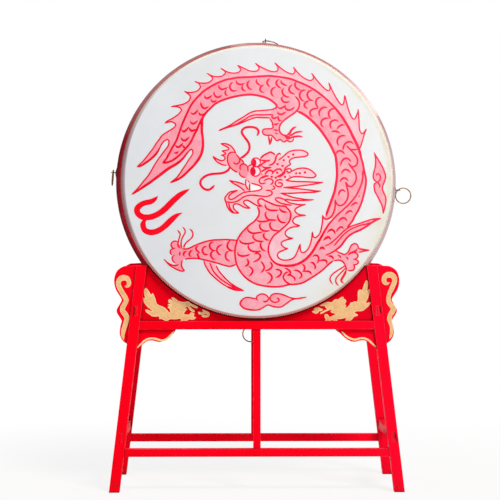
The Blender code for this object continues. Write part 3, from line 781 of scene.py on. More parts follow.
def hideProfile(values):
    # the outside from the cut edge over the shell's edge to the face, and the foot of the cut edge
    lift = values["air"] + values["hide"]
    turnY = halfSpan - values["hide"] - values["air"] - values["edgeRound"]
    normal = barrelNormal(turnY)
    tilt = math.atan2(normal.y, normal.x)
    touch = turnY + values["edgeRound"] * math.sin(tilt)
    turnRadius = barrelRadius(touch) - values["edgeRound"] * math.cos(tilt)
    start = halfSpan - values["skirt"]
    steps = values["edgeSteps"]
    outer = [offBarrel(start + (touch - start) * k / steps, lift) for k in range(steps)]
    for k in range(steps + 1):
        turn = tilt + (math.pi / 2 - tilt) * k / steps
        reach = values["edgeRound"] + lift
        outer.append((turnRadius + reach * math.cos(turn), turnY + reach * math.sin(turn)))
    return outer, offBarrel(start, values["air"])


def makeHide(name, side, values):
    # side is -1 at the front and 1 at the rear
    outer, (footRadius, footY) = hideProfile(values)
    steps = tackValues["count"] * values["perTack"]
    builder = bmesh.new()
    rings = []
    for k in range(steps):
        turn = math.tau * k / steps
        pull = values["pull"] * (0.5 + 0.5 * math.cos(math.tau * k / values["perTack"]))
        ripple = values["ripple"] * noise.noise(outward(turn) * values["ripples"])
        ring = [builder.verts.new(onDrum(turn, footRadius, side * (footY + ripple)))]
        for j, (radius, y) in enumerate(outer):
            nearEdge = max(0.0, 1 - j / values["pullRows"])
            spot = onDrum(turn, radius - pull * nearEdge, side * (y + ripple * nearEdge))
            ring.append(builder.verts.new(spot))
        rings.append(ring)
    for here, there in zip(rings, rings[1:] + rings[:1]):
        for j in range(len(here) - 1):
            face = builder.faces.new((here[j], here[j + 1], there[j + 1], there[j]))
            face.material_index = 1 if j < values["skirtRows"] else 0
    builder.faces.new([ring[-1] for ring in rings])
    under = Vector((0, side * values["hide"], 0))
    back = [builder.verts.new(ring[-1].co - under) for ring in rings]
    builder.faces.new(back)
    for k in range(steps):
        there = (k + 1) % steps
        builder.faces.new((rings[k][0], rings[there][0], back[there], back[k]))
    hide = placeMesh(name, builder, hideSkin, "drum", values["hideSharp"])
    hide.data.materials.append(skirtSkin)
    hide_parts("front_head" if side < 0 else "rear_head")


def stray(far):
    return random.uniform(-far, far)


def makeTacks(name, side, values):
    # one row of round-headed tacks close together along the skirt
    builder = bmesh.new()
    random.seed(values["seed"])
    lift = drumValues["air"] + drumValues["hide"] - values["sunk"]
    for k in range(values["count"]):
        turn = math.tau * k / values["count"] + stray(values["strayTurn"])
        y = values["y"] + stray(values["strayAlong"])
        radius, at = offBarrel(y, lift)
        normal = barrelNormal(y)
        out = outward(turn)
        across = Vector((-out.z, 0, out.x))
        up = (out * normal.x + Vector((0, side * normal.y, 0))).normalized()
        along = up.cross(across).normalized()
        foot = onDrum(turn, radius, side * at)
        up = (up + across * stray(values["lean"]) + along * stray(values["lean"])).normalized()
        rings = []
        for ring in range(values["rings"]):
            fall = math.pi / 2 * ring / values["rings"]
            middle = foot + up * values["rise"] * math.sin(fall)
            reach = values["radius"] * math.cos(fall)
            rings.append(circle(builder, middle, across, along, reach, values["sides"]))
        joinRings(builder, rings, closed=False)
        top = builder.verts.new(foot + up * values["rise"])
        last = rings[-1]
        for j in range(values["sides"]):
            builder.faces.new((last[j], last[(j + 1) % values["sides"]], top))
        builder.faces.new(list(reversed(rings[0])))
    placeMesh(name, builder, tackMetal, "drum", values["sharp"])


makeShell(drumValues)
for side, word in ((-1, "front"), (1, "rear")):
    makeHide(word + "Hide", side, drumValues)
    makeTacks(word + "Tacks", side, tackValues)
print("drum: shell, hides and", 2 * tackValues["count"], "tacks")


# Ring handles

ringValues = {
    "wire": 0.0046,
    "around": 96,
    "sides": 16,
    "slim": 0.985,          # share of the wire's thickness, which leaves room for the dents
    "hammer": 0.00012,      # depth of the dents
    "dents": 5,             # how close together they are
    "sharp": 60,
}


def ringFrame(node):
    # middle, radius and three axes of a ring, from the CAD solid's own points
    points = numpy.array([vertex.co for vertex in node.data.vertices])
    middle = points.mean(axis=0)
    _, _, axes = numpy.linalg.svd(points - middle, full_matrices=False)
    reach = numpy.abs((points - middle) @ axes[0]).max()
    return Vector(middle), reach, [Vector(axis) for axis in axes]


def makeRings(values):
    half = values["wire"] / 2
    for side in ("right", "top", "left", "bottom"):
        middle, reach, (first, second, square) = ringFrame(nodes[f"{side}_ring"])
        builder = bmesh.new()
        loops = []
        for k in range(values["around"]):
            turn = math.tau * k / values["around"]
            out = first * math.cos(turn) + second * math.sin(turn)
            dent = noise.noise(out * values["dents"] + Vector((len(side), 0, 0)))
            wire = half * values["slim"] + values["hammer"] * dent
            loops.append(circle(builder, middle + out * (reach - half), out, square, wire, values["sides"]))
        joinRings(builder, loops)
        name, body = f"{side}RingHandle", f"ring_{side}"
        ring = placeMesh(name, builder, ringMetal, body, values["sharp"])
        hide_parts(f"{side}_ring")


def dressIron():
    for name, piece in nodes.items():
        if name.endswith(("handle_plate", "eye_pin")):
            piece.material_slots[0].material = ironMetal
            weldPoints(piece, standValues)
            piece.data.shade_smooth()
        if "spring" in name:
            piece.material_slots[0].material = springMetal


makeRings(ringValues)
dressIron()
print("ring handles and springs")


# Painting and gold work, drawn on squared sheets. In a drawing x runs right and y down, in squares.
# A point is x,y or x,y,width; a ! after it makes it a corner.

headSheet = {"middle": (257.1, 181.7), "squares": 270.0}       # squares to the metre
boardSheet = {"middle": (262.76, 491.98), "squares": 268.66}
brushValues = {
    "step": 0.7,            # between the points of a line, in squares
    "fillStep": 1.0,        # between the points of a wash
    "same": 0.08,           # points of a wash that are nearer than this are one
    "shut": 0.05,           # an outline whose ends are nearer than this is shut
    "least": 0.12,          # width of the thinnest line
    "blunt": 0.35,          # share of the width that is left at a line's ends
    "point": 2.2,           # length of the narrower end, in half widths
    "edge": 0.75,           # height of a line's edges against its middle
    "line": 0.00034,        # thickness of a line, in metres
    "wash": 0.00015,        # thickness of a wash
    "lineOver": 0.0000012,      # each line this much higher than the one before
    "linesOver": 160,           # and down again after so many
    "washOver": 0.000003,
    "lineSharp": 80,
    "washSharp": 60,
}


def numbersOf(word):
    return [float(part) for part in word.split(",")]


def strokesOf(drawing):
    return [stroke.strip() for stroke in drawing.split("/")]


def brushed(drawing, width):
    return [(width, stroke) for stroke in strokesOf(drawing)]


def readRuns(drawing):
    # the drawing's points, split at its corners
    runs, run = [], []
    for word in drawing.split():
        numbers = numbersOf(word.rstrip("!"))
        run.append(numbers)
        if word.endswith("!") and len(run) > 1:
            runs.append(run)
            run = [numbers]
    if len(run) > 1:
        runs.append(run)
    return runs


def smoothRun(run, step, width=0):
    # points along a smooth curve through a run's points, each x, y and width
    spots = [Vector((*point, width)[:3]) for point in run]
    if len(spots) == 2:
        spots = [spots[0], (spots[0] + spots[1]) / 2, spots[1]]
    path = []
    for k in range(len(spots) - 1):
        here, there = spots[k], spots[k + 1]
        before = spots[k - 1] if k else here * 2 - there
        after = spots[k + 2] if k + 2 < len(spots) else there * 2 - here
        length = (there.xy - here.xy).length
        parts = max(1, round(length / step))
        for j in range(parts):
            t = j / parts
            path.append(0.5 * (
                2 * here + (there - before) * t
                + (2 * before - 5 * here + 4 * there - after) * t * t
                + (3 * here - before - 3 * there + after) * t * t * t
            ))
    path.append(spots[-1])
    return path


def closedOutline(drawing, step):
    outline = []
    runs = readRuns(drawing)
    for run in runs:
        outline.extend(tuple(spot.xy) for spot in smoothRun(run, step)[:-1])
    last = tuple(runs[-1][-1][:2])
    if (Vector(last) - Vector(outline[0])).length > brushValues["shut"]:
        outline.append(last)
    return outline


def onSheet(sheet, x, y):
    # metres right of the sheet's middle and above it
    middleX, middleY = sheet["middle"]
    return (x - middleX) / sheet["squares"], (middleY - y) / sheet["squares"]


def headPlace(x, y, lift):
    right, up = onSheet(headSheet, x, y)
    return Vector((drumMiddle.x + right, -halfSpan - lift, drumMiddle.z + up))


def boardPlace(face):
    def place(x, y, lift):
        right, up = onSheet(boardSheet, x, y)
        return Vector((right, face - lift, up))
    return place


def legPlace(node):
    # on the nearest face of a leg, which stands askew
    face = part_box(node)[0].y

    def place(x, y, lift):
        right, up = onSheet(boardSheet, x, y)
        _, spot, normal, _ = nodes[node].closest_point_on_mesh(Vector((right, face, up)))
        return spot + normal * lift
    return place


def paintedOn(place, body, values):
    # how a drawing's points are placed, what carries them, how high the paint lies and how full
    # the brush is
    return {"place": place, "body": body, "lift": values["lift"], "load": values["load"]}


def addRibbon(builder, path, ground, thick, thin):
    # a flat brush line: two edges, a crown and an underside, narrower towards its ends
    lengths = [0.0]
    for here, there in zip(path, path[1:]):
        lengths.append(lengths[-1] + (there.xy - here.xy).length)
    total = lengths[-1]
    blunt, low = brushValues["blunt"], ground["lift"]
    edge, crown = low + thick * brushValues["edge"], low + thick
    loops = []
    for k, (x, y, width) in enumerate(path):
        way = path[min(k + 1, len(path) - 1)].xy - path[max(k - 1, 0)].xy
        if way.length < 1e-6:
            continue
        way.normalize()
        half = max(width * ground["load"], brushValues["least"]) / 2
        fromEnd = min(lengths[k], total - lengths[k])
        half *= blunt + (1 - blunt) * min(1.0, fromEnd / (half * brushValues["point"]))
        half *= 1 - 0.5 * thin * (1 - math.sin(math.pi * lengths[k] / total))
        right, down = -way.y * half, way.x * half
        corners = [(x + right, y + down, edge), (x, y, crown), (x - right, y - down, edge), (x, y, low)]
        loops.append([builder.verts.new(ground["place"](*corner)) for corner in corners])
    joinRings(builder, loops, closed=False)
    builder.faces.new(loops[0])
    builder.faces.new(list(reversed(loops[-1])))


def paintLines(name, strokes, ground, material, layer=0.0, thin=0.0):
    # each stroke is its width and its drawing; thin is how much it thins from its middle to its ends
    builder = bmesh.new()
    count = 0
    for width, drawing in strokes:
        for run in readRuns(drawing):
            count += 1
            over = brushValues["lineOver"] * (count % brushValues["linesOver"])
            path = smoothRun(run, brushValues["step"], width)
            addRibbon(builder, path, ground, brushValues["line"] + layer + over, thin)
    return placeMesh(name, builder, material, ground["body"], brushValues["lineSharp"])


def paintPatches(name, outlines, ground, material, layer=0.0):
    # filled shapes from their closed outlines
    builder = bmesh.new()
    place, lift = ground["place"], ground["lift"]
    for index, outline in enumerate(outlines):
        thick = brushValues["wash"] + layer + brushValues["washOver"] * index
        low = [builder.verts.new(place(x, y, lift)) for x, y in outline]
        high = [builder.verts.new(place(x, y, lift + thick)) for x, y in outline]
        addSlab(builder, low, high)
    return placeMesh(name, builder, material, ground["body"], brushValues["washSharp"])


def turnedCopy(piece, body):
    # the same work on the rear side, turned half round the drum's middle
    other = addObject("rear" + piece.name[0].upper() + piece.name[1:], piece.data)
    half = Matrix.Rotation(math.pi, 4, "Z")
    other.matrix_world = Matrix.Translation(drumMiddle) @ half @ Matrix.Translation(-drumMiddle)
    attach(other, body)


# The dragon, after the traditional figure: name, width of the line, drawing. A / lifts the brush.

dragonContours = {
    "tail fins": (1.25,
        "164.8,123.5! 170,122 173,122.5 175.8,124.8 174.5,127.5 171,130 166,133 162,136 159.5,139.5 "
        "156.5,143.5 153,149 149.5,153.5 146,158 143,161.5 140.5,164 137,167.3! 141,166,1.8 145,163.5,2 "
        "150,160,2 155,155.5,2 158,151.5,1.8 160,148 161.5,145 163.5,142 166,140.3 167.7,139.8 169,141 "
        "169,143.5 168,146.5 165,150.5 162,154.5 159,158.5 156,163 153,168 150.5,172.5 147.5,177 144,181 "
        "140.5,185.5 137,189.5 131.8,194.8! 140,189.5,2 145,186,2.2 150,182.7,2.3 155,179,2.3 "
        "160,175.3,2.5 165,171.3,2.6 170,167.8,2.6 175,165,2.4 180,161.5,2.2 184,157.5,1.9 187,153.5,1.6 "
        "189.5,150.8 191.3,149.5 192.8,150.7 192.8,153.5 191,157 188.5,160.5 186,164.5 183,169 180,173.5 "
        "177,177.5 173.5,180.5 170,183! 174,181.3,1.8 178,179.5,2 182,177,2 186,173.5,2.1 190,169.5,2.2 "
        "193.5,166,2.2 197.5,161,2.3 201,155,2.4 202.8,148,2.4 203,140,2.1 202,132,2.3 202,125,2.4 "
        "202.5,119,2.1 205,114.5"),
    "back": (1.8,
        "162.5,163.5 166,159.5 168,156 170.5,151.5 172.5,147.5 175,143.5 177,139.5 178.5,135.5 180,131 "
        "182.5,124 184.5,119.5 186.5,115 189.5,108.5 191.5,105 194,101.5 197,98 200,95 203,92 206.5,89.5 "
        "210,87.3 214,85 218,83 222,81.5 226,80 230,79.2 235,78.3 240,77.7 250,77.3 260,76.6 270,76.2 "
        "280,77.2 290,79 297.4,81.7 308.9,86.8 320.4,94.3 331.8,104.6 341,115.5,2.2 347.9,126.4,2.3 "
        "353.1,136.8,2.4 357.1,144.8,2.4 359.5,151,2.4 361.3,158 363,164 364.3,171 365.9,178 366,184 "
        "365,190 363.5,196 361.5,203 358.5,210 355,216 352.5,221 349,225.5 347,228.8"),
    "inner line": (1.5,
        "363,170 362.8,178 361.5,184 359.5,189 356,196 352,201 348,205.5 343,210 338,214.5 334,218.5 "
        "330,223,1.7 326.5,228,1.9 323,234,2 320,239.5,2.1 317,244,2.2 314,249.5,2.2 310,255,2.2 "
        "305,260,2.3 299,263.5,2.3 293,265.4,2.3 287,265.9,2.2 281,265.3,2 276,263.5,1.8 272,260,1.6 "
        "269.3,255 268.3,250 269,245 271,240 274.5,235 276.5,233.5 281.5,229.5 286,225.5 289,222 "
        "290.5,218 290.8,214.5 289.5,210.8 287,208 285,206.3 280,206 275,205 270,203 265,200.7 262,199 "
        "259.5,199.2 258,201 258.3,203 260,205.3 263,206.5"),
    "belly line": (1.9,
        "162.5,163.3 165,163 170,161.7 175,159 180,154.8 185,149.5 189,145 192,140 194.5,134.5 197,130 "
        "199,125 201.5,120 204,116 207,112 210,109 213,106 216,103.7 220,101.5 225,99.6 230,98 235,96.8 "
        "240,95.8 245,95.2 250,94.8 255,95.2 260,96.2 265,97.5 270,99.8 274,102.8 276.8,106 276,108 "
        "274.5,109.2"),
    "right belly line": (2.2,
        "297,111.3 301,113 306,116 311,120 316,125 320,129.5 324,135 328,141 331,146 333.5,151.5 "
        "335.5,156 336.5,163 337,171 336.8,179 335.5,187 334.5,192 332,199 329.5,206 327.5,211.5 "
        "326,216.3"),
    "back fins": (1.2,
        "164.8,123.5! 168,121 172,119 176,116.5 179,114 181.5,110.8 181,109 179.5,107.8 176,106.8 "
        "171,107! 182,104.8 186,103.2 189,101 190.3,98.5 190.3,96.5 188.8,94.5 184.3,91.5! 188,92.8 "
        "192,92.6 196,91.8 199,89.8 200.6,87.5 200,85.5 198,83 194.8,81.7! 198,83 203,83.5 208,83 "
        "211,81.3 212.5,79.5 211.8,77 206.9,73.4! 211,75.7 215,76.8 220,76.8 223,75.8 225.5,72.5 "
        "220.6,68.3! 225,71 229,72.8 234,73.4 238,72.9 240.3,71 240.5,69 237.4,65.3! 240.5,67 245,69 "
        "249,71 254,71.7 257.5,71 259,69 258.5,66.8 255.2,63.2! 258.7,66 262,67.8 267,70.2 271,71.6 "
        "275,72 277.3,71 278,69.5 277.7,67 274.6,62.7! 278,66 283,70 287,72.5 290,73.7 293,74.2 294.8,72 "
        "294.7,69.5 293,67! 300.8,75.9 308.9,80.5 312.9,79.4 313.5,76.5 311.4,73.1! 318,81.7 325,89.1 "
        "329,90.8 330.1,87.4 328.6,82.6! 334.1,94.3 339.9,103.5 342.8,104.6 344,102 344.7,95.2! 346,100 "
        "348,108 350.5,115 352.5,118.3 354,119.2 355.5,118 357,114.5 358,112 358,109! 358.6,114 359,120 "
        "359.3,127 360,131 362,133.8 364,132.5 366.6,128.7! 364.5,134 362.8,140 361.2,145 360,148 "
        "358.5,150"),
    "thigh": (1.5,
        "295,96.3 297.5,99 299.2,102 299.3,105.5 298.5,108.5 296.5,111.2 294,113.5 290.5,115.8 287,118.3 "
        "283.5,121 280.8,124 279.4,127.5 279.4,130.5 280.5,133 282.8,134.8 286,136.3 289,137.8"),
    "back foot": (1.3,
        "269.5,118.5 271,120.5 272.3,122.8 272.5,125 273.2,127 272.5,128.2 270.5,128.8 267,129 "
        "264.3,129.3 262.8,130.3 262.5,132 263.3,134 265.3,135.2 268,135.6 271,135.3 272.5,136.3 "
        "274.5,138.3 276,140.2 277.5,140.8 279,140.2 280.3,139.6 281.8,140.8 284,142 285.7,141.3 "
        "287,140.5 288.7,141.5 291,141.8 292.7,140.8 293.5,139 293.7,138 / "
        "268.6,136,1.6 269,139,1.6 269.6,142,1.6 269.5,145,1.2! 270,144.5,1.2 270.8,142,1.6 "
        "271.5,139.5,1.6 271.8,137,1.6 / "
        "273.5,129.8,1.6 276,130.3,1.6 278.5,130.6,1.4 / 275,133,1.8 278,134,1.8 / "
        "284.5,134.5,2.6 286.5,137,3.2 289,138,3.2 292,138,2.4 / 286.5,135.5,2 289.5,133.5,2 "
        "291.3,130.5,2 293.5,128.2,1.8 296.8,126.6,0.8 / 288.5,136.5,1.7 292,134.8,1.7 295.5,132.8,1.7 "
        "299,131.9,1.6 303,131.8,0.8 / "
        "290,137.8,1.7 293.5,137,1.7 297,136.4,1.7 300.5,136.5,1.4 303,137.1,0.8"),
    "upper fur": (1.3,
        "275.5,108.5 272,109.7 267,110.3 260,110.9 255,111.3 250,113 246,115.5 242,118 236,121.5 "
        "230,125.5 218.5,131 / "
        "273,114.7 262,115 256,115 250,116.5 245,119.5 238,123.5 230,127 / "
        "270,118 262,117.8 256,117.8 250,119.5 245,121.5 238,124.5 230,127 225,128.5 218.5,131"),
    "left claw": (1.3,
        "177.3,230,0.7 179,232 180.2,234.5 179.5,237.5 178.5,241 178,244,1.6 178.8,246.5,1.6 "
        "180.5,248.5,1.6 / "
        "182.5,227,0.7 184.5,229 185.3,232 184,235 182.3,238 181.3,241.5 181.2,245,1.6 182,248.5,1.6 / "
        "189.5,228.8,0.7 191.8,230.8 193,234 192,237.5 189.5,240 186.5,242.5 184.5,245.5,1.6 "
        "183.8,248.5,1.6 / "
        "178,242 175.5,241.2 173,241.8 171.3,243.8 171.3,246 172.8,248.2 175.3,248.5 / "
        "174,248.6 171.5,249.5 170.3,251.5 170.8,253.8 172.5,255.3 / 174.8,255.2 173,256.3 172.2,258.5 "
        "173,261 175.5,263.2 / "
        "163.8,259,0.8! 168,263 172,265 176,265.6 178.8,264.3 / "
        "163.8,259,0.8! 167,262.5 170,265.5 174,268 178,270 181.5,271.2 184.3,270.7 182.7,268.5 "
        "181.7,266 181.7,263 182.7,260"),
    "left foreleg": (1.4,
        "182,248.8 186,249 190,248 194,246 198,244.3 202,242.8 206,241.5 210,240.6 215,240 220,239.8 "
        "225,239.6 230,239.8 237.3,240.4 / 185,259.6 188,258.7 193,258.4 198,258.6 202,259.4 206,260.2 "
        "210,261.2 215,262.5 220,264 225,265.5 230,266.4 234.5,265.2 236.3,264"),
    "left fur": (1.3,
        "203.8,260.3 205,264.5 207,268.5 210,273 214,277 218,280.5 222,283.5 226,286 230,288,1.8 "
        "236,289.8,2.2 244.2,290.8,0.8 / "
        "209.8,262.5 211,266 213,270.5 216,274.5 220,278.5 224,281.5 228,284 232,286.5 238,289.5,1.6 / "
        "216.3,265.5 218,269.5 220.5,273 224,277 228,281 231,283.5 235.8,287,1.8 244.2,290.8,0.8"),
    "chest": (1.6,
        "257,207 258.5,209 259.3,212 258.7,215.5 257.3,218 255.5,220.3 253,222.5 249,225.5 245.5,229 "
        "242,232.5 239.3,236.5 237.3,240.3 236,245 235,250 235.2,256 236,262 238,267.5 241,272.5 245,277 "
        "250,281 256,284 263,285.8 270,286.7 277,286.9 283,286.2 288,285 291,284.5"),
    "right arm": (1.6,
        "333.8,261 331,262.5 326,267 321,271.5 316,275 310.5,278.5 305,281.8 301,283.5 296,284.3 "
        "291,284.5 287.5,283 284.5,280 283.3,277.3 284.3,274.5 286.5,272.5 288.5,272.2 / 287,275.5 "
        "290,275 293,276.8 295,279 294.5,281"),
    "right fur": (1.3,
        "325,246 330,243.8 335,239.8 340,235 344,231 347.5,228.5 352,226 358,224 364,222 370,220 "
        "376,218.8 381.5,218.3,0.8 / "
        "334,246 339,240 344,234.5 350,229.8 356,227 362,225 366,224.3 370,222.5,0.8 / "
        "325.5,255.5 329,254 333,252 336,250,1.6 341,246,1.8 345,240.5,1.8 349,236,1.8 354,232.8,1.8 "
        "360,230.2,1.8 366,226.8,1.8 371,223.3,1.8 376,220.3,1.8 381.5,218.3,0.8"),
    "right foot": (1.3,
        "336,250.3 338,252 341,253.3 344.5,254.5 347,253.3 349,250.8 350.3,247.5 352,245 354.5,243.8 "
        "357,244.5 358.4,247 357.8,248.8 / 358,248.3 361,249.3 365,249.7 370,250.2,0.8! 366,250.8 "
        "362,251.8 358.5,252.5 / "
        "357.3,248.8,1.8 356,250.8,1.8 353.8,252,1.8 351,253,1.8 349,254.5,1.8 348.2,255.5,1.6 / "
        "353,252.7 356,253 358,255 357.8,257.3 355.8,259 353,259.5 / 355,259.8 357.5,260.5 358.6,262 "
        "357.5,264 355,264.8 353.3,264.6 / 353.5,265 354.8,267 354.3,269.3 352,270.7 349.5,270.8 "
        "347.8,270.5 / "
        "333.8,261 338,260.3 341.5,261 344,263 345.5,266 346.3,269 346,271 / "
        "345.5,265.5 342,268 337,271 332.5,274.5 330.3,278 330.5,281 333,284.5,0.7 / "
        "345.8,268 343,271 339.5,274.5 336.5,278 335.8,281.5 337,284 338.8,285.8,0.7 / "
        "346.5,270,2.2 344.8,274,2.2 342.8,277.5,2.1 341.5,280,1.9 342,282,1.5 344,283.7,0.8 / "
        "345.8,257.3,1.8 347.5,258,1.8 348.3,260,1.6 / 337.5,255 340,256.3 341.3,258.5 / 328,256,1.8 "
        "331,256.3,1.8 333,257.8,1.8 333.3,260,1.6"),
    "nose": (1.3,
        "236.3,154.3 235.5,152.5 234,150 232,147.2 229,145 225,143.8 220.5,143.7,0.9! 224,145.5 227,147 "
        "228.8,148.5 228,150 226,150.5 221.5,151,0.9! 224,152.2 225.8,153.5 225,154.5 220.8,155.3,0.9! "
        "223.5,156 225.2,158 224,160.2 221,160.7 218.5,159.8 216,158.5 212.8,156.2,0.9! 214.5,159 "
        "217,161.8 220,163.8 223.5,165 227,165.5 / "
        "235.5,152.8 232,152.3 229.5,153.3 227.8,156 227.5,160 228,163 229,165.5 230.5,167.8 233,170 "
        "236,171.8 237.8,172.5 / "
        "236,154.3 238.5,157 239.8,160 239,162.5 237,164 235,163.8 233.3,162.3 / 236.3,154.3 238,156.5 "
        "240,158.8 242,160.3 243.5,162.2 243,163.5 / 240.5,170.5 240,167.5 241,165 243.5,164 246,165 "
        "247.8,167.5 248,170.5 248.5,172 / 239.5,172 239.5,174 241,176 243.5,177.3 246,177.6 / 248,167.5 "
        "249.5,165.5 252,164.8 253.5,165.5"),
    "brow": (1.55,
        "260.5,160 261.5,157.5 264,155.3 267.5,153.5 270.5,152.3 273,153.3 275.5,155.3 / 260.5,160.2 "
        "264,160.7 268,161 270,160.3 / 258.5,167 261,165.3 263.5,163 267,161 270.5,160.2 / 268.5,165.3 "
        "271.5,164.8 274,162.8 275.5,160 276,157.3 277.5,154.8 279.5,153.7 281,155 / 262,166 264,167.6 "
        "267,167.8 271.5,167.3 / 260.8,172.2 264,170.2 267.5,168.5 271.5,167.5 / 264.7,175 266.5,172.3 "
        "269,170.5 271.5,170.8 273,172.5 271.7,174.5 / 261.2,173.5 262.5,175.3 / 260,179 262,177.5 "
        "265,176.3 269,176 / 273,172.5 275.5,170.3 278,169.2 280.5,169.5 282.3,171.5 / "
        "285,169.5,2.2 284.5,172,2.4 282,174.8,2.4 279,176.3,2.2 276.5,176.7,1.8"),
    "horns": (1.3,
        "278.5,160.3 281,158.5 284,156 287,153.3 290,151.5 294,150.5 298,150.2 302,150.4 305,151.5 "
        "307.5,153 308,154.5 306.5,156 303,156.8 299,157.2 295,157.7 292,158.7 290,160.3 289.4,162.5 "
        "290.5,164.3 288,166 285.5,168 284,170 / "
        "287.5,174 290,172.2 293.5,170.5 297,169 301,168.3 305,168.3 309,169.3 312.5,171.5 315,174 "
        "316,175.5 314.5,177.2 311.5,177.8 307,177.6 302,177 297,176.7 293,177 290.5,178 288,179.5 "
        "285.5,180.3 / 284.5,171.5 286,169.8 289,168.8 291,169.5 291.3,171.3 290,172.8 / 289.5,175.3 "
        "290.3,177.3"),
    "cheek": (1.3,
        "283,180.3 279.5,179.7 276.5,181 275.2,183.5 276.3,185.8 279,186.8 281.5,186.2 282.5,184.3 "
        "281,183 279,182.9 277.8,183.8 / 263.5,181.3 266,179.7 269,178.8 271.7,179.5 273.2,181.5 "
        "272.3,183.5 270,184.8 / 265,177.5 261.5,178 259.5,180 259.5,182 261,183.7 263.5,183.6 266,182.8 "
        "/ 272.5,185.6 274.3,187 274.3,188.7 271.5,189.8 / "
        "265.5,190.4 270,190.6 272,192.3 272,194 270,195.6 266,196.6 262,196.3 257,195.7 252,195.3 "
        "247,195.8 243,197.5 240,199.7 236,201.7 232,202.5 229,202.2 226,202"),
    "mane": (1.3,
        "286,180.5 292,181.3 300,181.7 308,181.9 316,182.3 323.7,182.3,0.8! 318,183.5 310,184.8 "
        "302,185.9 294,186.8 283,187.6,0.9! 290,188.1 300,189 310,190.2 316,191 321.5,191,0.8! 315,192.2 "
        "307,192.6 298,193 290,193.4 280,193.2,0.9! 285,194.7 290,196.4 295,197.8 300,198.6 305,199.5 "
        "314.3,199.8,0.8! 308,200.3 300,200.6 292,200.3 285,199 / 275,198 279,198 283,199 286,200.8 "
        "290,203 295,204 300,204.7 306,204.4,0.8! / "
        "275,198 275.5,199.5 277.5,201.5 281,203.3 286,204.5 292,205.5"),
    "neck fins": (1.3,
        "306,204.4! 302,205.5 298,207.3 295.5,209 295,211 296.5,213 299,214.5 306,215.5! 298,216.3 "
        "294.5,218 292.8,220.5 293.3,222.5 295.5,224.3 300.3,225.9! 296,226.7 291.5,227.5 288,229.3 "
        "285.7,231.5 285.3,234 287,236.5 290,238 293.5,238.2! 289,239.3 285,240.5 282,242 281.2,243.8 "
        "282.5,246 285,248 288.3,248.5! 283,250.5 279,252.5 277.5,255 278,257 281,259.5 286,260.3 "
        "291,259.3 295,256.5 298,250 300.3,243.8! 300.3,248 301,251.5 303,252.7 306,251.5 309,247.5 "
        "311.5,240 312.5,231.5! 313,236 315,237.7 318,236 320.5,232 322.5,222 322.7,214.8!"),
    "mouth": (1.3,
        "229,180,0.8 232,181.3 236,182 240,183 245,185 / 229,180,0.8 233,183.3 238,186 242,188.8 "
        "245,191.5 / "
        "246.5,178.5 245.7,182 246,186 247.5,188.8 249,190 / 247.5,180.3 249.5,182.8 / 250,183 249.6,187 "
        "250,191.5 / "
        "251,183.3 255,184.3 259,185.5 261.5,187 261.8,188.5 260,190 256,191 250.5,191.5 / "
        "252,191.3 247,192 243,193 239,195.3 235,198 232,199.5 230,199.3 228.7,197.8 229.5,195.5 "
        "232,193.3 235,191.8 237.8,190.2! 234,191.2 230,192.2 227,195 225,198 225.3,200.5 226.3,203 "
        "227,206 229,209.5 231.5,212 234,213 239.3,213.3! 236,211 233.8,208.5 233.3,206 234.5,204.3 "
        "237,203.9 240,205 243,206.8 246,208 250.5,208.5! 247.5,206.5 245,204.5 243.7,202.5 244.3,201 "
        "246.5,200.3 249,201 252,202.7 255,204.6 258,206 261,206.7 / "
        "229,202.5 229,204.5 230,208 232,211 234.5,213"),
    "whiskers": (2.0,
        "240,158.3 243,157 246,154.5 248.5,151.5 249.5,148 249.3,145 247.8,141.5 245.5,138.5 243,135 "
        "241.8,132.5 242.5,130 245,128 249,127.2 253,127.3 256.5,128.5 258.5,131 258.3,133.5 257,136 / "
        "229.5,166.5 228.8,169.5 226.5,171.5 223,173 218,173.7 213,174 209,174.8 206,176 203,178 "
        "201,180.5 200.5,184 202.5,187.5 205.5,189.5 209,189.8 212,188 214.7,185.2"),
    "right cloud": (1.3,
        "374,152.3,0.8! 375.3,156 375.8,161 375.3,167 374,172 373.3,176 374,179.3 376,181.5 378.5,183.3 "
        "380,185.5 379.5,188 / 377,182.3 374.5,184.3 374.3,188 375.3,192 377.5,196 379.5,200 381.5,204 "
        "382.8,208 383.4,214,0.8! / "
        "374,152.3,0.8! 377,157.5 380.3,163 383,168 385,173 385.7,177 384.8,181 383.3,185 382.5,189 "
        "384,193 385.7,197 386,201 385.3,206 384.3,210 383.4,214,0.8! / 376.3,176 377,174.3 378.8,174 "
        "380.3,175.8 380.6,178.5 379.3,181 377,182.3"),
    "low cloud": (1.3,
        "256.5,298.8 253,298.3 248,297.5 244,298.5 241.3,301,1.6 240.2,303.5,1.6 241.3,306,1.6 "
        "244.5,308.5,1.6 249,309.7,1.6 254,310.2 259,309.8 263,307.8 266.5,305.6 269,305.2 272,306.3 "
        "277,307.3 281.5,306.9 285,304.8 289,301.8 292.5,299.7 297,298.8 302,298 307,297.2,0.8! "
        "301,298.3 296,298.7 291,298 286,296 281.5,294.3 277,293.7 273,294.3 271,296 270,298.5 271,300.5 "
        "273.3,302.2 276.5,302.3 279,301 278.5,299,1.8 276.5,298,1.8 / "
        "257.8,300.8,1.8 256.5,298.5 257,296.5 259.3,294.8 262,294 265.5,294.8 268,297 269,298.5 "
        "267.5,300.8 265,301.8,1.6 263,301.3,1.8"),
    "plates": (1.5,
        "346.5,145.5 350,149.3 353.5,153 356.5,157 357.7,161 356.8,164.5 354.5,166.5 351.5,166.5 "
        "349,163.8 348.3,162.8 / "
        "350.5,149 354,149.8 357.5,149.3 / 348.3,162.8 350.5,166 353,169.3 355.3,172.5 356.3,176.5 "
        "356,180.5 354.3,184 352,186.3 350,186.6 347.5,185 346,182 / 345.5,182 347,187 348,191.5 "
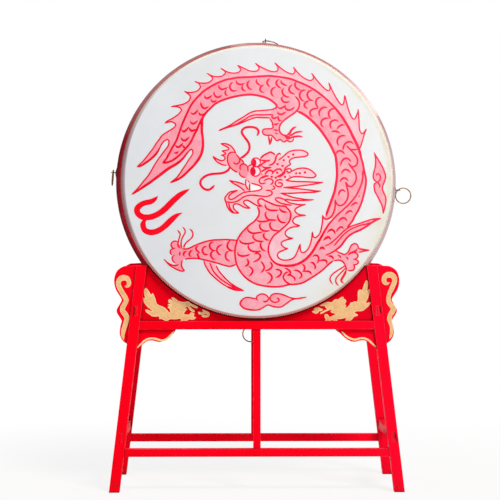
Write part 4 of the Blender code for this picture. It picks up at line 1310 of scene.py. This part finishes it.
        "348.2,195.5 347,200 344,204 341,205.6 338,205 335.8,202 335.3,199.5 / 335.3,199.5 335.3,204 "
        "334.8,209 333.3,213.5 331,217 328,219 325.5,219 323.5,217.5 322.7,214.8!"),
}

dragonScales = (
    "181.5,129.5,1.9 183.5,131.7,2 186,130.5,1.9 189,127 / 188.8,127.5,1.9 191.5,131,2 195,130,2 "
    "196.5,129 / "
    "180.8,137.5 182.5,140,1.9 185,140.7,2 187.5,139,1.9 189.7,136.7 / "
    "175,145,1.9 177.5,147.2,2 180,146.5,1.9 183.3,143 / 182.2,144.8,1.9 184.5,147.8,2 186.8,147.8 / "
    "173.8,152.9,2 176,153.2,2.2 179,151.6,1.8 / "
    "190.8,112.5 192.5,114.2 195,113.5 198.5,110 / 198.8,112 200,114.7 202.5,115 205,113.5 / 190.3,121 "
    "191.5,123.2 193.5,124 196,122.5 198,120.5 / 201,102 201.2,105 203,108 205.5,108.5 209,106.5 / "
    "204.5,95.5 205.3,97.8 207.5,98.5 210.5,97 212.5,95.3 / 214.5,91.5 214,94 215.8,96.7 218.5,97.5 "
    "222,95.5 / 210.8,99 212,101.3 214,102 217,100.5 / "
    "218.5,85 219.5,88 222,89.7 225,89 228,87.5 / 226.5,90 225.3,92.5 226,95 228,96 / 233,82 230.3,85 "
    "230,88 231.5,90.5 234,91.2 237,90.5 / 236,80.5 237,83 239,84.5 242,84.6 245,83.5 / 243,85 242,88 "
    "243,90 246,91.5 / 250,80.5 247.7,83 247.5,86 249.5,89 252.5,89.7 / 256.8,79 256.5,82 258.5,84.5 "
    "261,85.7 / 264,85 261,86.8 260,89 261,91.7 264,92.8 / "
    "270,78.5 267.5,81 267.3,84 270,87.5 / 276,87 272.5,89 271.2,92 272,95 274,97 / 279.5,79.5 277,81 "
    "276.3,84 278.5,86.8 281.5,88.7 / 280.8,80 281.5,83 284.5,85 287.5,86 / 284,88 282.2,91 283.5,95 "
    "287,97 290,97.2 / "
    "283.5,96.5 281.5,98.5 283,101.5 286.5,102.5 290,101.5 / 277.5,107 280,108.5 283,107.5 286,105 / "
    "285.8,104.8 285,107 286.5,109.5 289.5,110.3 292.5,109 294.8,106.8 / "
    "292.5,84.5 290,87 289,90 291,92.8 295,94.5 / 296.8,81.5 295,84 295.5,87 298,89.3 301,90.5 / 306,90 "
    "302,91 299.8,94 300,97.5 302,100.3 304.5,101.5 / 312.5,90.3 309,91.5 307.3,94.5 308.3,98 311,100.3 "
    "313.8,100.8 / 321.5,97.3 318,98.3 316,101 316,104 317.5,107 318.8,108.3 / 310,100.8 306.5,102 "
    "304.3,105 305.5,107.5 308,108.8 / 318.5,108.3 314,109 311,110.5 310,113 310.8,115.5 312.8,117 / "
    "327.8,108 324.5,107.3 321,109 319.2,112 319.3,115 320.3,116.8 / "
    "329.5,118.5 326,118.3 322.5,120 321,123 321.8,125.5 323.8,127.5 / 335,108.8 331.5,109.3 329,112 "
    "328.7,115 330,118 331,119 / 338.5,122.3 337,120.5 334,120.3 331,122 330.2,125 331,128 331.8,129 / "
    "345,125.3 342,125 338.8,126.8 336.7,129.5 / 340,133.5 338,132 334.5,131.3 331,132 / 346,136.3 "
    "343,135.6 339,137.5 337.3,141 338,144.5 339,146.3 / "
    "353.5,144.3 351.5,142.2 348.3,142 345.3,143.8 343.5,147 343.3,150.5 / "
    "336,154.5 337,152.3 339.5,150.8 342.5,151.8 345,154.5 / 340.3,165.8 342,161.3 344.5,158.8 "
    "347.5,158.5 350,160.5 350.8,162.3 / 341.3,174.3 343,171 345.5,169.6 348.5,170.5 351,173 / "
    "339.8,182.5 341.5,179.5 344.2,178 347,179.3 348,181.5 / 338.8,196 339.3,192.5 341.3,190.3 "
    "343.5,190.3 345.8,192.3 / "
    "358.5,197 360.3,195.5 / 351,206.3 353.8,203.8 356.5,202.8 358,204.5 / 345.3,214.8 348,211.8 351,211 "
    "352.8,213 / "
    "338.3,222 341,218.8 343.8,218 346,219.3 347.2,221.5 / 336,232 338.8,228.5 341.5,227 343.8,229 / "
    "327.3,233 329.5,230.5,1.9 332,229.8,2.1 334.3,231.5,1.8 335.5,234.5 / 323.2,240.8 325.8,238.3,2.2 "
    "328.8,237.3,2.3 331,240 / "
    "319.3,250.2 321.3,248,2.2 323.5,248,2.3 325,250 / 277.2,111.5 278.5,113.8 281.5,114.5 284.5,113 "
    "286.3,111.8 / 273.5,115 272,116.5 272.8,118.2 275,118.3 278,116.8 / 278.3,115.8 278.3,118.5 "
    "279.5,120.8 281.8,120.3 / 272.8,124 275.5,124.6 279,123.4 / "
    "180,251.5 179.6,256 / 187,251 184.3,252.5 183.6,254.5 184.5,256.8 / 193,250 190.5,251.5 189.3,254 "
    "190,256 191.8,256.4 / 198.8,246 196.3,247.3 196,249 197.5,251.2 200,252.3 / 200,252.5 198.2,253.5 "
    "197.8,255 198.8,257.2 200.5,259 / 207.2,246 204,247.3 202.5,250 203.2,252.8 205.5,254.6 208.5,254.3 "
    "/ 213.8,241.8 210.8,243 209.6,245.5 210.5,248.5 213,250.4 216,250.6 / 214.5,250.7 212,251.8 "
    "210.8,254.5 211.5,257.2 213.5,259.2 215.5,258.6 / "
    "222.5,244.5 219,246.2 217,249 217.3,252 219.3,254.5 221.5,254.6 / 230.5,240.3 228,243 227.3,246.5 "
    "229,249.5 231.5,250.8 234,250.8 / 229.3,251 226.5,252.8 225.5,256 226.8,259.5 230,261.3 / "
    "265.3,203.5 265.3,206 267,208.8 270.5,210.3 274,210.5 279,210.2 / 279.3,207.5 280.3,209.8 "
    "282.5,211.5 287.5,212.5 / "
    "266.8,211.5 265.4,213.8 265.8,216.5 267.5,219 270,220 277,220.2 / 278.5,214.2 277.7,216 278.3,219 "
    "280.5,221.8 283,222.6 286.5,222.3 / 256.5,220 259,221.4 263,221.7 268,221 270,220 / 261.5,223 "
    "259.8,225 260.2,228 262.5,230.3 266,231.2 270,230.6 / 271.5,221.5 270,224 270.3,227 272.3,229.6 "
    "276,230.7 279,230.5 / 248.5,228 247.7,229.5 249,231.5 251.5,233 255,233.3 263,232 / 265.2,232.5 "
    "263.6,234.8 264.2,237.5 266.5,239.7 269.5,240.3 / 254.5,234 253,236 253.8,238.5 256.5,240.7 "
    "260,241.5 264,241.2 / 239.3,239.5 240.5,241.8 243,243.3 247,243.8 251,243.2 255.5,241.8 / 248.6,244 "
    "248.3,247.5 250.5,250.3 254,251.6 258,251.7 261.5,251.2 / 261.8,242 260.5,244.5 261.3,248 "
    "263.5,250.3 266,251.3 / "
    "237.8,252 238.3,254.5 241,256 245,256 248.5,255 250.3,253.8 / 246.5,258.5 248.3,261.5 248,264.5 "
    "246,266 244.5,266.8 / "
    "248.5,266.3 251.5,268.3 252.8,271 251.5,274 248.8,276.5 / 254,254.2 257.5,253.3 260,255 260.3,257 "
    "258.5,259.5 255.5,261.2 253,262.5 / 260.5,261 263,264 264.3,267.5 263,270.8 260.5,272.8 / "
    "269.8,261.8 272,264.5 271.8,267 269.5,269.5 266,270.8 264.5,271.3 / 266.5,272.3 270,274 272,277 "
    "271.3,280 269.5,282.3 267,283.5 / 275,269.3 279,270 281.3,272 280.5,274.8 278,276.8 275.3,277.8 / "
    "284.5,268 288,269.5 290.3,272 290,274 287,275.8 / "
    "293.3,270.3 297.5,270.7 300.5,272.7 301.8,275.3 300.8,277.5 298.8,279 / 303.5,271.7 308,271.3 "
    "310.5,272.7 311.5,275 / 302,264 304.3,266 304.8,268.8 303.5,271 302.3,272 / 310,262.5 313,263 "
    "315,265.5 315.3,268 314.3,269.8 / "
    "319,261.3 322,260.3 325.5,260.5 327,262.3 326.3,264.5 / 312.5,256.8 315.5,255.3 318,256.3 318.8,259 "
    "318,262 316.5,263.5"
)

flames = (
    "158.3,196,0.3 155,199.3,3.2 151,201.7,4.5 145,203,4.5 140.5,205.2,4.8 137.3,209,5.2 138,213.5,5 "
    "142,216.7,5 147.5,217.5,5 153,216.4,5 159,213.6,5 164.5,209.5,5.2 169.5,204.6,5.2 174.5,199.7,5 "
    "180,195,4.5 185,191.8,3 190,189.1,0.3 / 146,219,5 143.6,222.5,5 143.3,226.5,4.8 145.5,230.6,4.8 "
    "150.5,232.4,5 156,231.6,5 161,229.2,4.8 166,225.2,5 170.5,220.8,5 175,216.8,4 179,214.3,2.2 "
    "182.8,212.8,0.3"
)

# filled shapes: names of the lines above and points between them; ~ runs a line backwards
dragonFills = {
    "pale": (
        "tail fins; 196,112 190,118 184,124.5 178,123.5 175,120.5 168,120.6",
        "back fins; 355,141 344,121 330,104 312,89 290,79 262,76.5 238,78 216,87 204,96 195,107 189,117 "
        "185,125 178,124.6 172,122.4",
        "275.5,108.5 267,110.3 255,111.3 250,113 242,118 230,125.5 218.5,131! 225,128.5 238,124.5 "
        "250,119.5 262,117.8 270,118 277,114",
        "203.8,260.3 207,268.5 214,277 222,283.5 230,288 244.2,290.8! 235.8,287 228,281 220.5,273 "
        "216.3,265.5 211,259",
        "229,180 232,181.3 240,183 246.2,185 249.6,190 250,191.4 245,191.5 242,188.8 238,186 233,183.3",
        "237.8,190.2 234,191.2 230,192.2 227,195 225,198 228,200.5 236,199 243,194 250,191.3 244,190.5",
        "neck fins; 330,223 323,234 317,244 310,255 299,263.5 287,265.9 276,263.5 269.3,255 269,245 "
        "276.5,233.5 286,225.5 290.8,214.5 285,206.3",
    ),
    "pink": (
        "325,246 335,239.8 344,231 352,226 364,222 381.5,218.3! 371,223.3 360,230.2 349,236 341,246 "
        "336,250 325.5,255.5",
        "374,152.3! 375.8,161 374,172 373.3,176 376,181.5 374.3,188 377.5,196 381.5,204 383.4,214! "
        "385.3,206 386,201 384,193 382.5,189 384.8,181 385.7,177 383,168 380.3,163",
        "256.5,298.8 248,297.5 241.3,301 240.2,303.5 244.5,308.5 254,310.2 263,307.8 269,305.2 277,307.3 "
        "285,304.8 292.5,299.7 307,297.2! 296,298.7 286,296 277,293.7 271,296 268.5,297.5 265.5,294.8 "
        "262,294 257,296.5",
        "~belly line; back; 343,222 338,214.7 334,218.4 331,218.4 328,219.3 325.5,219 323.5,217.5 "
        "326,216.3; ~right belly line; 290,112 283,112 277,110",
        "inner line; chest; 291,284.5 296,284.3 301,283.5 305,281.8 310.5,278.5 316,275 321,271.5 "
        "326,267 331,262.5 333.8,261 336,250 325,246 335,239.8 344,231 349,225.5 355,216 361.5,203 "
        "365,190 365.5,178",
        "thigh; 290,141 285.7,141.3 280.3,139.6 276,140.2 272.5,136.3 265.3,135.2 262.5,132 264.3,129.3 "
        "270.5,128.8 273.2,127 272.5,122.8 269.5,118.5 272,109.5 278,105 285,97",
        "325,250 336,250.3 341,253.3 344.5,254.5 349,250.8 352,245 354.5,243.8 357,244.5 358.4,247! "
        "370,250.2! 358.5,252.5 358,255 355.8,259 358.6,262 355,264.8 354.3,269.3 350,270.8 346.3,270 "
        "344,263 338,260.3 333.8,261 326,262",
        "182,248.8 190,248 198,244.3 206,241.5 215,240 225,239.6 237.3,240.4! 236,252 236.3,264! "
        "230,266.4 220,264 210,261.2 198,258.6 188,258.7 182.7,260 181.7,266 184.3,270.7! 178,270 "
        "170,265.5 163.8,259! 172,265 175.5,263.2 172.2,258.5 173.5,255.5 170.3,251.5 172.8,248.2 "
        "171.3,244.5 173.5,241.6 178,242",
    ),
    "face": (
        "236.3,154.3! 234,150 229,145 220.5,143.7! 227,147 228.8,148.5 226,150.5 221.5,151! 225.8,153.5 "
        "220.8,155.3! 225.2,158 224,160.2 218.5,159.8 212.8,156.2! 217,161.8 223.5,165 228,166 233,170 "
        "239.5,173.5 241,176 246,177.6 249,182.5 255,184.3 261.5,187 260,190 252,191.3! 243,193 235,198 "
        "230,199.3 226.3,198.5 225.6,201 227,206 231.5,212 239.3,213.3! 233.8,208.5 234.5,204.3 "
        "243,206.8 250.5,208.5! 245,204.5 244.3,201 249,201 255,204.6 263,206.5! 275,205 285,206.3! "
        "292,205.5 306,204.4! 290,203 285,199 280,193.2 283,187.6 286,180.5! 288,166 285,158 276,156 "
        "270.5,152.3 264,155.3 260,159.2 256,158.2 252,160.5 251.6,164.5 248.5,166.5 246,164.8 "
        "243.3,163.5 242,160.3 240,158.8",
    ),
    "horn": (
        "278.5,160.3 284,156 290,151.5 298,150.2 305,151.5 308,154.5 303,156.8 295,157.7 290,160.3 "
        "289.4,162.5 284,161",
        "287.5,174 290,172.2 297,169 305,168.3 312.5,171.5 316,175.5 311.5,177.8 302,177 293,177 288,179",
        "286,181 300,181.7 323.7,182.3! 302,185.9 284,187.4! 300,189 321.5,191! 307,192.6 283,193.2! "
        "290,196.4 300,198.6 314.3,199.8! 300,200.6 287,199.8! 282,195 281,188 283,183",
    ),
    "nose": (
        "236.3,154.3 240,158.8 243.5,162.2 247.8,167.5 248.5,172 246,177.6 241,176 239.5,173.5 233,170 "
        "228,165 227.5,158 230,153",
    ),
    "white": (
        "251,183.3 255,184.3 259,185.5 261.8,188.2 260,190 256,191 250.5,191.4",
    ),
    "eye": (
        "eye 256,162.5,4.3,4.3",
        "eye 255.5,171.5,4.7,4.7",
    ),
}
# ovals: middle and two radii of each; rings: middle and radius
pupils = "254.2,163,2.3,3.8 253.4,171.7,2.4,4"
dragonDots = (
    "277.5,164.2,1.3,1.15 283.8,160.3,1.3,1.15 288.5,157,1.3,1.15 293.2,154.6,1.3,1.15 "
    "282.6,166,1.3,1.15 287.4,171.7,1.3,1.15 296.2,173.4,1.3,1.15 299.8,173.3,1.3,1.15 305,172.5,1.4,1.2 "
    "277.2,172.8,1.3,1.15 271.8,176.8,1.3,1.15 275.8,177.8,1.3,1.15 285,177,1.3,1.15"
)
eyeRings = "256,162.5,4.4 255.5,171.5,4.8"


headValues = {              # widths of lines in squares, the rest in metres
    "lift": 0.00010,        # from the hide to the underside of the paint
    "load": 1.18,           # how full the brush is: widens every line
    "toneOver": 0.000022,   # each tone lies this much higher than the one before
    "scales": 1.75,
    "scalesThin": 0.6,      # how much a scale's line thins towards its ends
    "scalesOver": 0.00002,
    "flames": 4.5,
    "dotsOver": 0.00016,
    "eyeRings": 1.3,
    "eyeRingsOver": 0.00003,
}


def ellipse(x, y, across, up, sides=28):
    turns = [math.tau * k / sides for k in range(sides)]
    return [(x + across * math.cos(turn), y + up * math.sin(turn)) for turn in turns]


def outlineOf(recipe, lines):
    # a closed outline from names of lines, points between them, or an eye's middle and two radii
    if recipe.startswith("eye"):
        return ellipse(*numbersOf(recipe[4:]))
    outline = []
    for part in recipe.split(";"):
        part = part.strip()
        name = part.lstrip("~")
        drawing = strokesOf(lines[name][1])[0] if name in lines else part
        path = []
        for run in readRuns(drawing):
            path.extend(tuple(spot.xy) for spot in smoothRun(run, brushValues["fillStep"]))
        outline.extend(reversed(path) if part.startswith("~") else path)
    clean = []
    for spot in outline:
        if not clean or (Vector(spot) - Vector(clean[-1])).length > brushValues["same"]:
            clean.append(spot)
    if (Vector(clean[0]) - Vector(clean[-1])).length < brushValues["same"]:
        clean.pop()
    return clean


def paintHead(values):
    onHead = paintedOn(headPlace, "drum", values)
    made = []
    for level, (tone, recipes) in enumerate(dragonFills.items()):
        outlines = [outlineOf(recipe, dragonContours) for recipe in recipes]
        over = values["toneOver"] * level
        made.append(paintPatches(tone + "Paint", outlines, onHead, washes[tone], over))
    contours = []
    for width, drawing in dragonContours.values():
        contours.extend(brushed(drawing, width))
    made.append(paintLines("dragonLines", contours, onHead, redLine))
    scales = brushed(dragonScales, values["scales"])
    over, thin = values["scalesOver"], values["scalesThin"]
    made.append(paintLines("dragonScales", scales, onHead, redLine, over, thin))
    made.append(paintLines("flames", brushed(flames, values["flames"]), onHead, redHook))
    for name, spots, material in (("dragonDots", dragonDots, redLine), ("pupils", pupils, redDark)):
        dots = [ellipse(*numbersOf(dot)) for dot in spots.split()]
        made.append(paintPatches(name, dots, onHead, material, values["dotsOver"]))
    rings = []
    for ring in eyeRings.split():
        x, y, radius = numbersOf(ring)
        spots = ellipse(x, y, radius, radius)
        drawing = " ".join(f"{a:.2f},{b:.2f}" for a, b in spots + spots[:2])
        rings.append((values["eyeRings"], drawing))
    made.append(paintLines("eyeRings", rings, onHead, redLine, values["eyeRingsOver"]))
    return made


headWork = paintHead(headValues)
for piece in headWork:
    turnedCopy(piece, "drum")
print("painting:", len(headWork), "pieces a head")


# Gold work on the stand's boards: scrolls on the ears, lines on the brackets, small dragons on the apron

earScrolls = (
    "124.9,286,1 126.2,286.7,2.6 127.8,286,3.5 129,283.8,4 128.8,281,4.2 127.3,278.8,4.8 125,277.8,5.3 "
    "122.6,277.9,5.4 120.2,279.2,5 118.7,281.8,4.7 118.7,284.9,4.6 119.9,288.2,4.6 122.6,293,4.6 "
    "125.2,297.3,4.7 126.3,300.5,4.6 124.8,304,4.6 122.9,307.5,4.8 122.8,310.8,4.9 124.8,313.8,5.3 "
    "126.8,317,5 126.6,320.5,4.6 125.2,325,4.5 123.8,329.5,4.3 122.9,334,3.5 123.2,337.5,2.2 "
    "123.8,340,0.4 / "
    "389.8,282.6,1 388.3,283.6,2.6 386,283.5,3.5 384.4,281.6,4.4 384.3,279.2,4.7 385.2,276.8,5 "
    "387.3,275.2,5.4 390,274.9,5.6 392.7,275.7,5.5 394.5,278,5 394.9,281,4.8 393.8,284.6,4.7 "
    "391.9,289,4.6 389.8,293.4,4.1 388.7,298,4.1 389.3,302.5,4.6 391.8,305.8,4.8 393.8,308.3,4.8 "
    "392.8,311.5,5 390.5,315.5,4.5 389.8,319.5,4.5 391,324,3.4 391.8,328,2.8 391.7,333,2.8 "
    "390.9,336.5,2.4 389.9,339,0.8"
)
bracketLines = (
    "174,331.4,1.4 168.1,338.1,1.8 162.2,340.5,1.9 153.2,338.5,1.9 145.7,340.1,1.9 137.2,347.8,1.4 / "
    "341.8,331.6,1.4 347.6,337.2,1.8 354.8,339.9,1.9 361.3,338.5,1.9 367.9,339.9,1.9 376.5,347.6,1.4"
)
apronDragons = (
    "145.8,288.1! 148.3,291 150.2,294 152,296.5! 151.9,295 152.4,293.2! 153.5,295.3 154.9,298.5 "
    "155.8,302 157.3,304.7 160,306 162,306.7 164.8,308.3 167,310.5 169,312.8 171.3,313.2! 170.4,311 "
    "170,308.5 168,307.9! 168.8,306.5 170.5,306 167.9,304.5! 170,304.6 172,305 171,303.6 169.3,302.5 "
    "168.6,301 169.5,299.7 171.2,300.2 172.8,301.5! 173.5,300.7 171.8,297.8! 173.5,298 176,299.5 "
    "178,301.3 180.5,302 184,302.6 186.7,302 188.5,302 190.5,303.8 193,305 198,307.3! 196.5,308 "
    "193.5,307 191,305.5 189,305.3 190.5,307.5 192.5,309.5 194.8,311.2! 193.5,312 191,310.5 189,308.3 "
    "187.3,306.3 184.8,307.8 184.3,309.2 187,308.8! 185.5,310.6 183.5,313.2 184.2,314.7 187,315 "
    "189.5,315 190.5,313.5 191.5,312.8 194.5,314! 193.3,315.3 194,317.2 196,317.5! 194.5,318.8 192,319.6 "
    "189.5,319 187.5,320.2 184.5,320.8 180.8,320.7! 181.5,319 180,318.3 177,318.8 174,319 171,318.8 "
    "168.2,319.8 167.8,321.3! 165.5,320.5 163.5,319.5 161.3,318.5 159.2,318.9! 160,317.2 159,316 "
    "155,316.3 152,315.7 149,313.7 146.5,311.8 145.5,310! 148,310.2 150.5,311.3 153.3,311.3! 150.5,308.8 "
    "147.5,306.3 145,303.3 144,300.7 143.6,298! 145,298.5 146.6,299.6! 145.2,296.5 144.6,293 144.8,290",
    "198.5,311.9 200.5,312.6 203.5,312.6 202.6,309.9! 205,311 208,312.4 209.4,314 208.7,316 206.5,317 "
    "203.8,317 202,316 203.5,315.3 206.5,315.5 207.3,314.3 206,313.5 203.5,314.2 200,314.2 198.5,313",
    "366.8,280.5! 367.8,282.5 367.7,286 367,289.5 366.8,292! 368,291 369.8,289! 369.6,291.5 368.8,295 "
    "367.5,298.5 366,302 365.4,304! 367.5,303.5 370.8,302.6! 369.5,304.8 367,307.3 364.5,309.5 "
    "362.5,310.7 359.5,311 357,311 355,312 354,313.5 356,314.2 358.2,315.4! 356,316.1 354.3,316.3 "
    "353,318 351,320.2 348.5,321.2 345.8,321.1! 346.5,319 348.3,317 346,317.5 343.5,318.2 340,318.8 "
    "337,319 337.3,320.3 336,321.8! 334,320.8 332.5,319.7 331,320.3 329,321.4 325.2,321.2! 326.3,319.8 "
    "325.5,318 325,316 325.3,314.6! 327,314.8 328.5,316.2 329.7,318! 331.5,317 334,315.8 336.3,314.5 "
    "336.3,313.7 333.5,313 330.8,311.8! 332.5,310 332.6,309! 330.5,309.5 326.3,311.2 323,312.9 "
    "320.2,313.9! 322,312.3 325,310.9 328.3,309.2 327.3,308.6 326,307.5 325,305.6! 323,305.8 320,305.6! "
    "323,304.3 325.5,303 328,302.4 332,302.8 334,301 336,299.7 338.5,300 340.3,298.5 342.8,297! "
    "343.5,298 343.3,299.5 345,299.8 346,301.3 345.2,303 344.8,304.5 346.3,306! 345,307.5 346.3,308.3 "
    "348.5,307 350,305 351.3,303 353,303 354.5,302 357,302.3 358.3,300 358.3,297 358.3,293 359.3,290.5 "
    "360.8,289.8! 362,290.8 363,289.5 364,286.5 365.5,282.5",
    "313.8,309.5 316,308.2 318.5,307.8 320.5,308.8 323,309.8! 321,310.8 319,311 318,312.5 316,313.5 "
    "314,312.7 312.3,311.5! 314,311.2 316.3,310.8 316,309.8",
)
gildingValues = {           # widths of lines in squares, the rest in metres
    "lift": 0.00005,        # from the board to the underside of the gold
    "load": 1.0,
    "scrollEdges": 4.5,
    "scrolls": 3.0,
    "scrollsOver": 0.00016,
    "trim": 1.1,            # how much narrower the fill is than its edge
    "least": 0.2,           # width of the thinnest fill
    "brackets": 2.0,
    "dragonStep": 0.8,      # between the points of a dragon's outline
    "dragonsOver": 0.00005,
    "dragonEdges": 0.75,
}


def trimmed(stroke, values):
    # the same stroke narrower, for the fill inside its edge
    words = []
    for word in stroke.split():
        x, y, width = word.split(",")
        words.append(f"{x},{y},{max(float(width) - values['trim'], values['least']):.2f}")
    return " ".join(words)


def makeGold(values):
    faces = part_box("front_apron")[0].y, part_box("front_left_ear")[0].y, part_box("front_left_bracket")[0].y
    apron, ears, brackets = (paintedOn(boardPlace(face), "stand", values) for face in faces)
    edges = brushed(earScrolls, values["scrollEdges"])
    inner = [(values["scrolls"], trimmed(stroke, values)) for stroke in strokesOf(earScrolls)]
    lines = brushed(bracketLines, values["brackets"])
    outlines = [closedOutline(drawing, values["dragonStep"]) for drawing in apronDragons]
    rims = []
    for drawing in apronDragons:
        rims.append((values["dragonEdges"], drawing.rstrip("!") + " " + drawing.split()[0]))
    return [
        paintLines("earScrollEdges", edges, ears, goldEdge),
        paintLines("earScrolls", inner, ears, goldFill, values["scrollsOver"]),
        paintLines("bracketLines", lines, brackets, goldEdge),
        paintPatches("apronDragons", outlines, apron, goldFill, values["dragonsOver"]),
        paintLines("apronDragonEdges", rims, apron, goldEdge),
    ]


# Ears with the outline drawn out finer, and painted shadow in the gaps beside the tenons

earOutline = (
    "132.3,266.1 135.4,267.4 138.4,269.5 140.2,271.6 141.6,274.5 142.5,278 142.7,281 142.3,285 140.8,290 "
    "138.3,294.2 136,297.7 135.1,300.3! 136.9,303.7 139.1,307.4 140.3,310.4 139.7,313.3 137.7,316.6 "
    "135.6,319.9 135.2,321.7! 136.2,325 136.9,329 137.2,333 136.6,336.2 135.3,339 133.4,341.6"
)
tenonGaps = (
    "134.7,306.2,1.5 134.6,307.4,1.2 134.4,308.6,0.6 134.2,311,0.6 133.9,314,0.8 133.6,316,0.3 / "
    "379.7,306.1,1.4 379.9,307.2,1.1 380.1,308.5,0.6 380.5,311,0.8 381.2,313.7,0.5 / "
    "121.2,432.6,0.5 120.6,436,0.8 120,439,0.7 119.6,442.8,0.3 / "
    "394.5,432,0.5 395,435,0.8 395.8,438,0.7 396.7,441.2,0.3"
)
earValues = {
    "step": 0.9,            # between the points of its outline, in squares
    "level": 0.0005,        # corners this near its top are at its top
    "sharp": 35,
}
gapValues = {"width": 1.0, "lift": -0.0001, "load": 1.6}       # its underside is inside the leg
middleOfStand = 256.9       # on the board sheet


def makeEar(node, values):
    low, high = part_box(node)
    side = -1 if "left" in node else 1
    points = [vertex.co for vertex in nodes[node].data.vertices]
    atTop = [point for point in points if abs(point.z - high.z) < values["level"]]
    corner = min(atTop, key=lambda point: side * point.x)
    foot = min(points, key=lambda point: (round(point.z, 4), side * point.x))
    outline = [(corner.x, high.z)]
    for x, y in closedOutline(earOutline, values["step"]):
        _, up = onSheet(boardSheet, x, y)
        outline.append((drumMiddle.x + side * x / boardSheet["squares"], min(up, high.z)))
    outline.append((foot.x, foot.z))
    builder = bmesh.new()
    near, far = ([builder.verts.new((x, y, z)) for x, z in outline] for y in (low.y, high.y))
    addSlab(builder, far, near)
    ear = placeMesh(node + "_board", builder, upright, "stand", values["sharp"])
    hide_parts(node)
    softenArrises(ear, standValues)


def makeTenonGapShadows(values):
    # dark lines painted in the gaps beside the tenons, as painted shadow
    made = []
    for side in ("left", "right"):
        onLeg = paintedOn(legPlace(f"front_{side}_leg"), "stand", values)
        lines = []
        for width, stroke in brushed(tenonGaps, values["width"]):
            fromMiddle = numbersOf(stroke.split()[0])[0] - middleOfStand
            if (fromMiddle < 0) == (side == "left"):
                lines.append((width, stroke))
        made.append(paintLines(side + "TenonGaps", lines, onLeg, gapShadow))
    return made


for end in ("front", "rear"):
    for side in ("left", "right"):
        makeEar(f"{end}_{side}_ear", earValues)
goldWork = makeGold(gildingValues) + makeTenonGapShadows(gapValues)
for piece in goldWork:
    turnedCopy(piece, "stand")
print("gold work:", len(goldWork), "pieces a side")
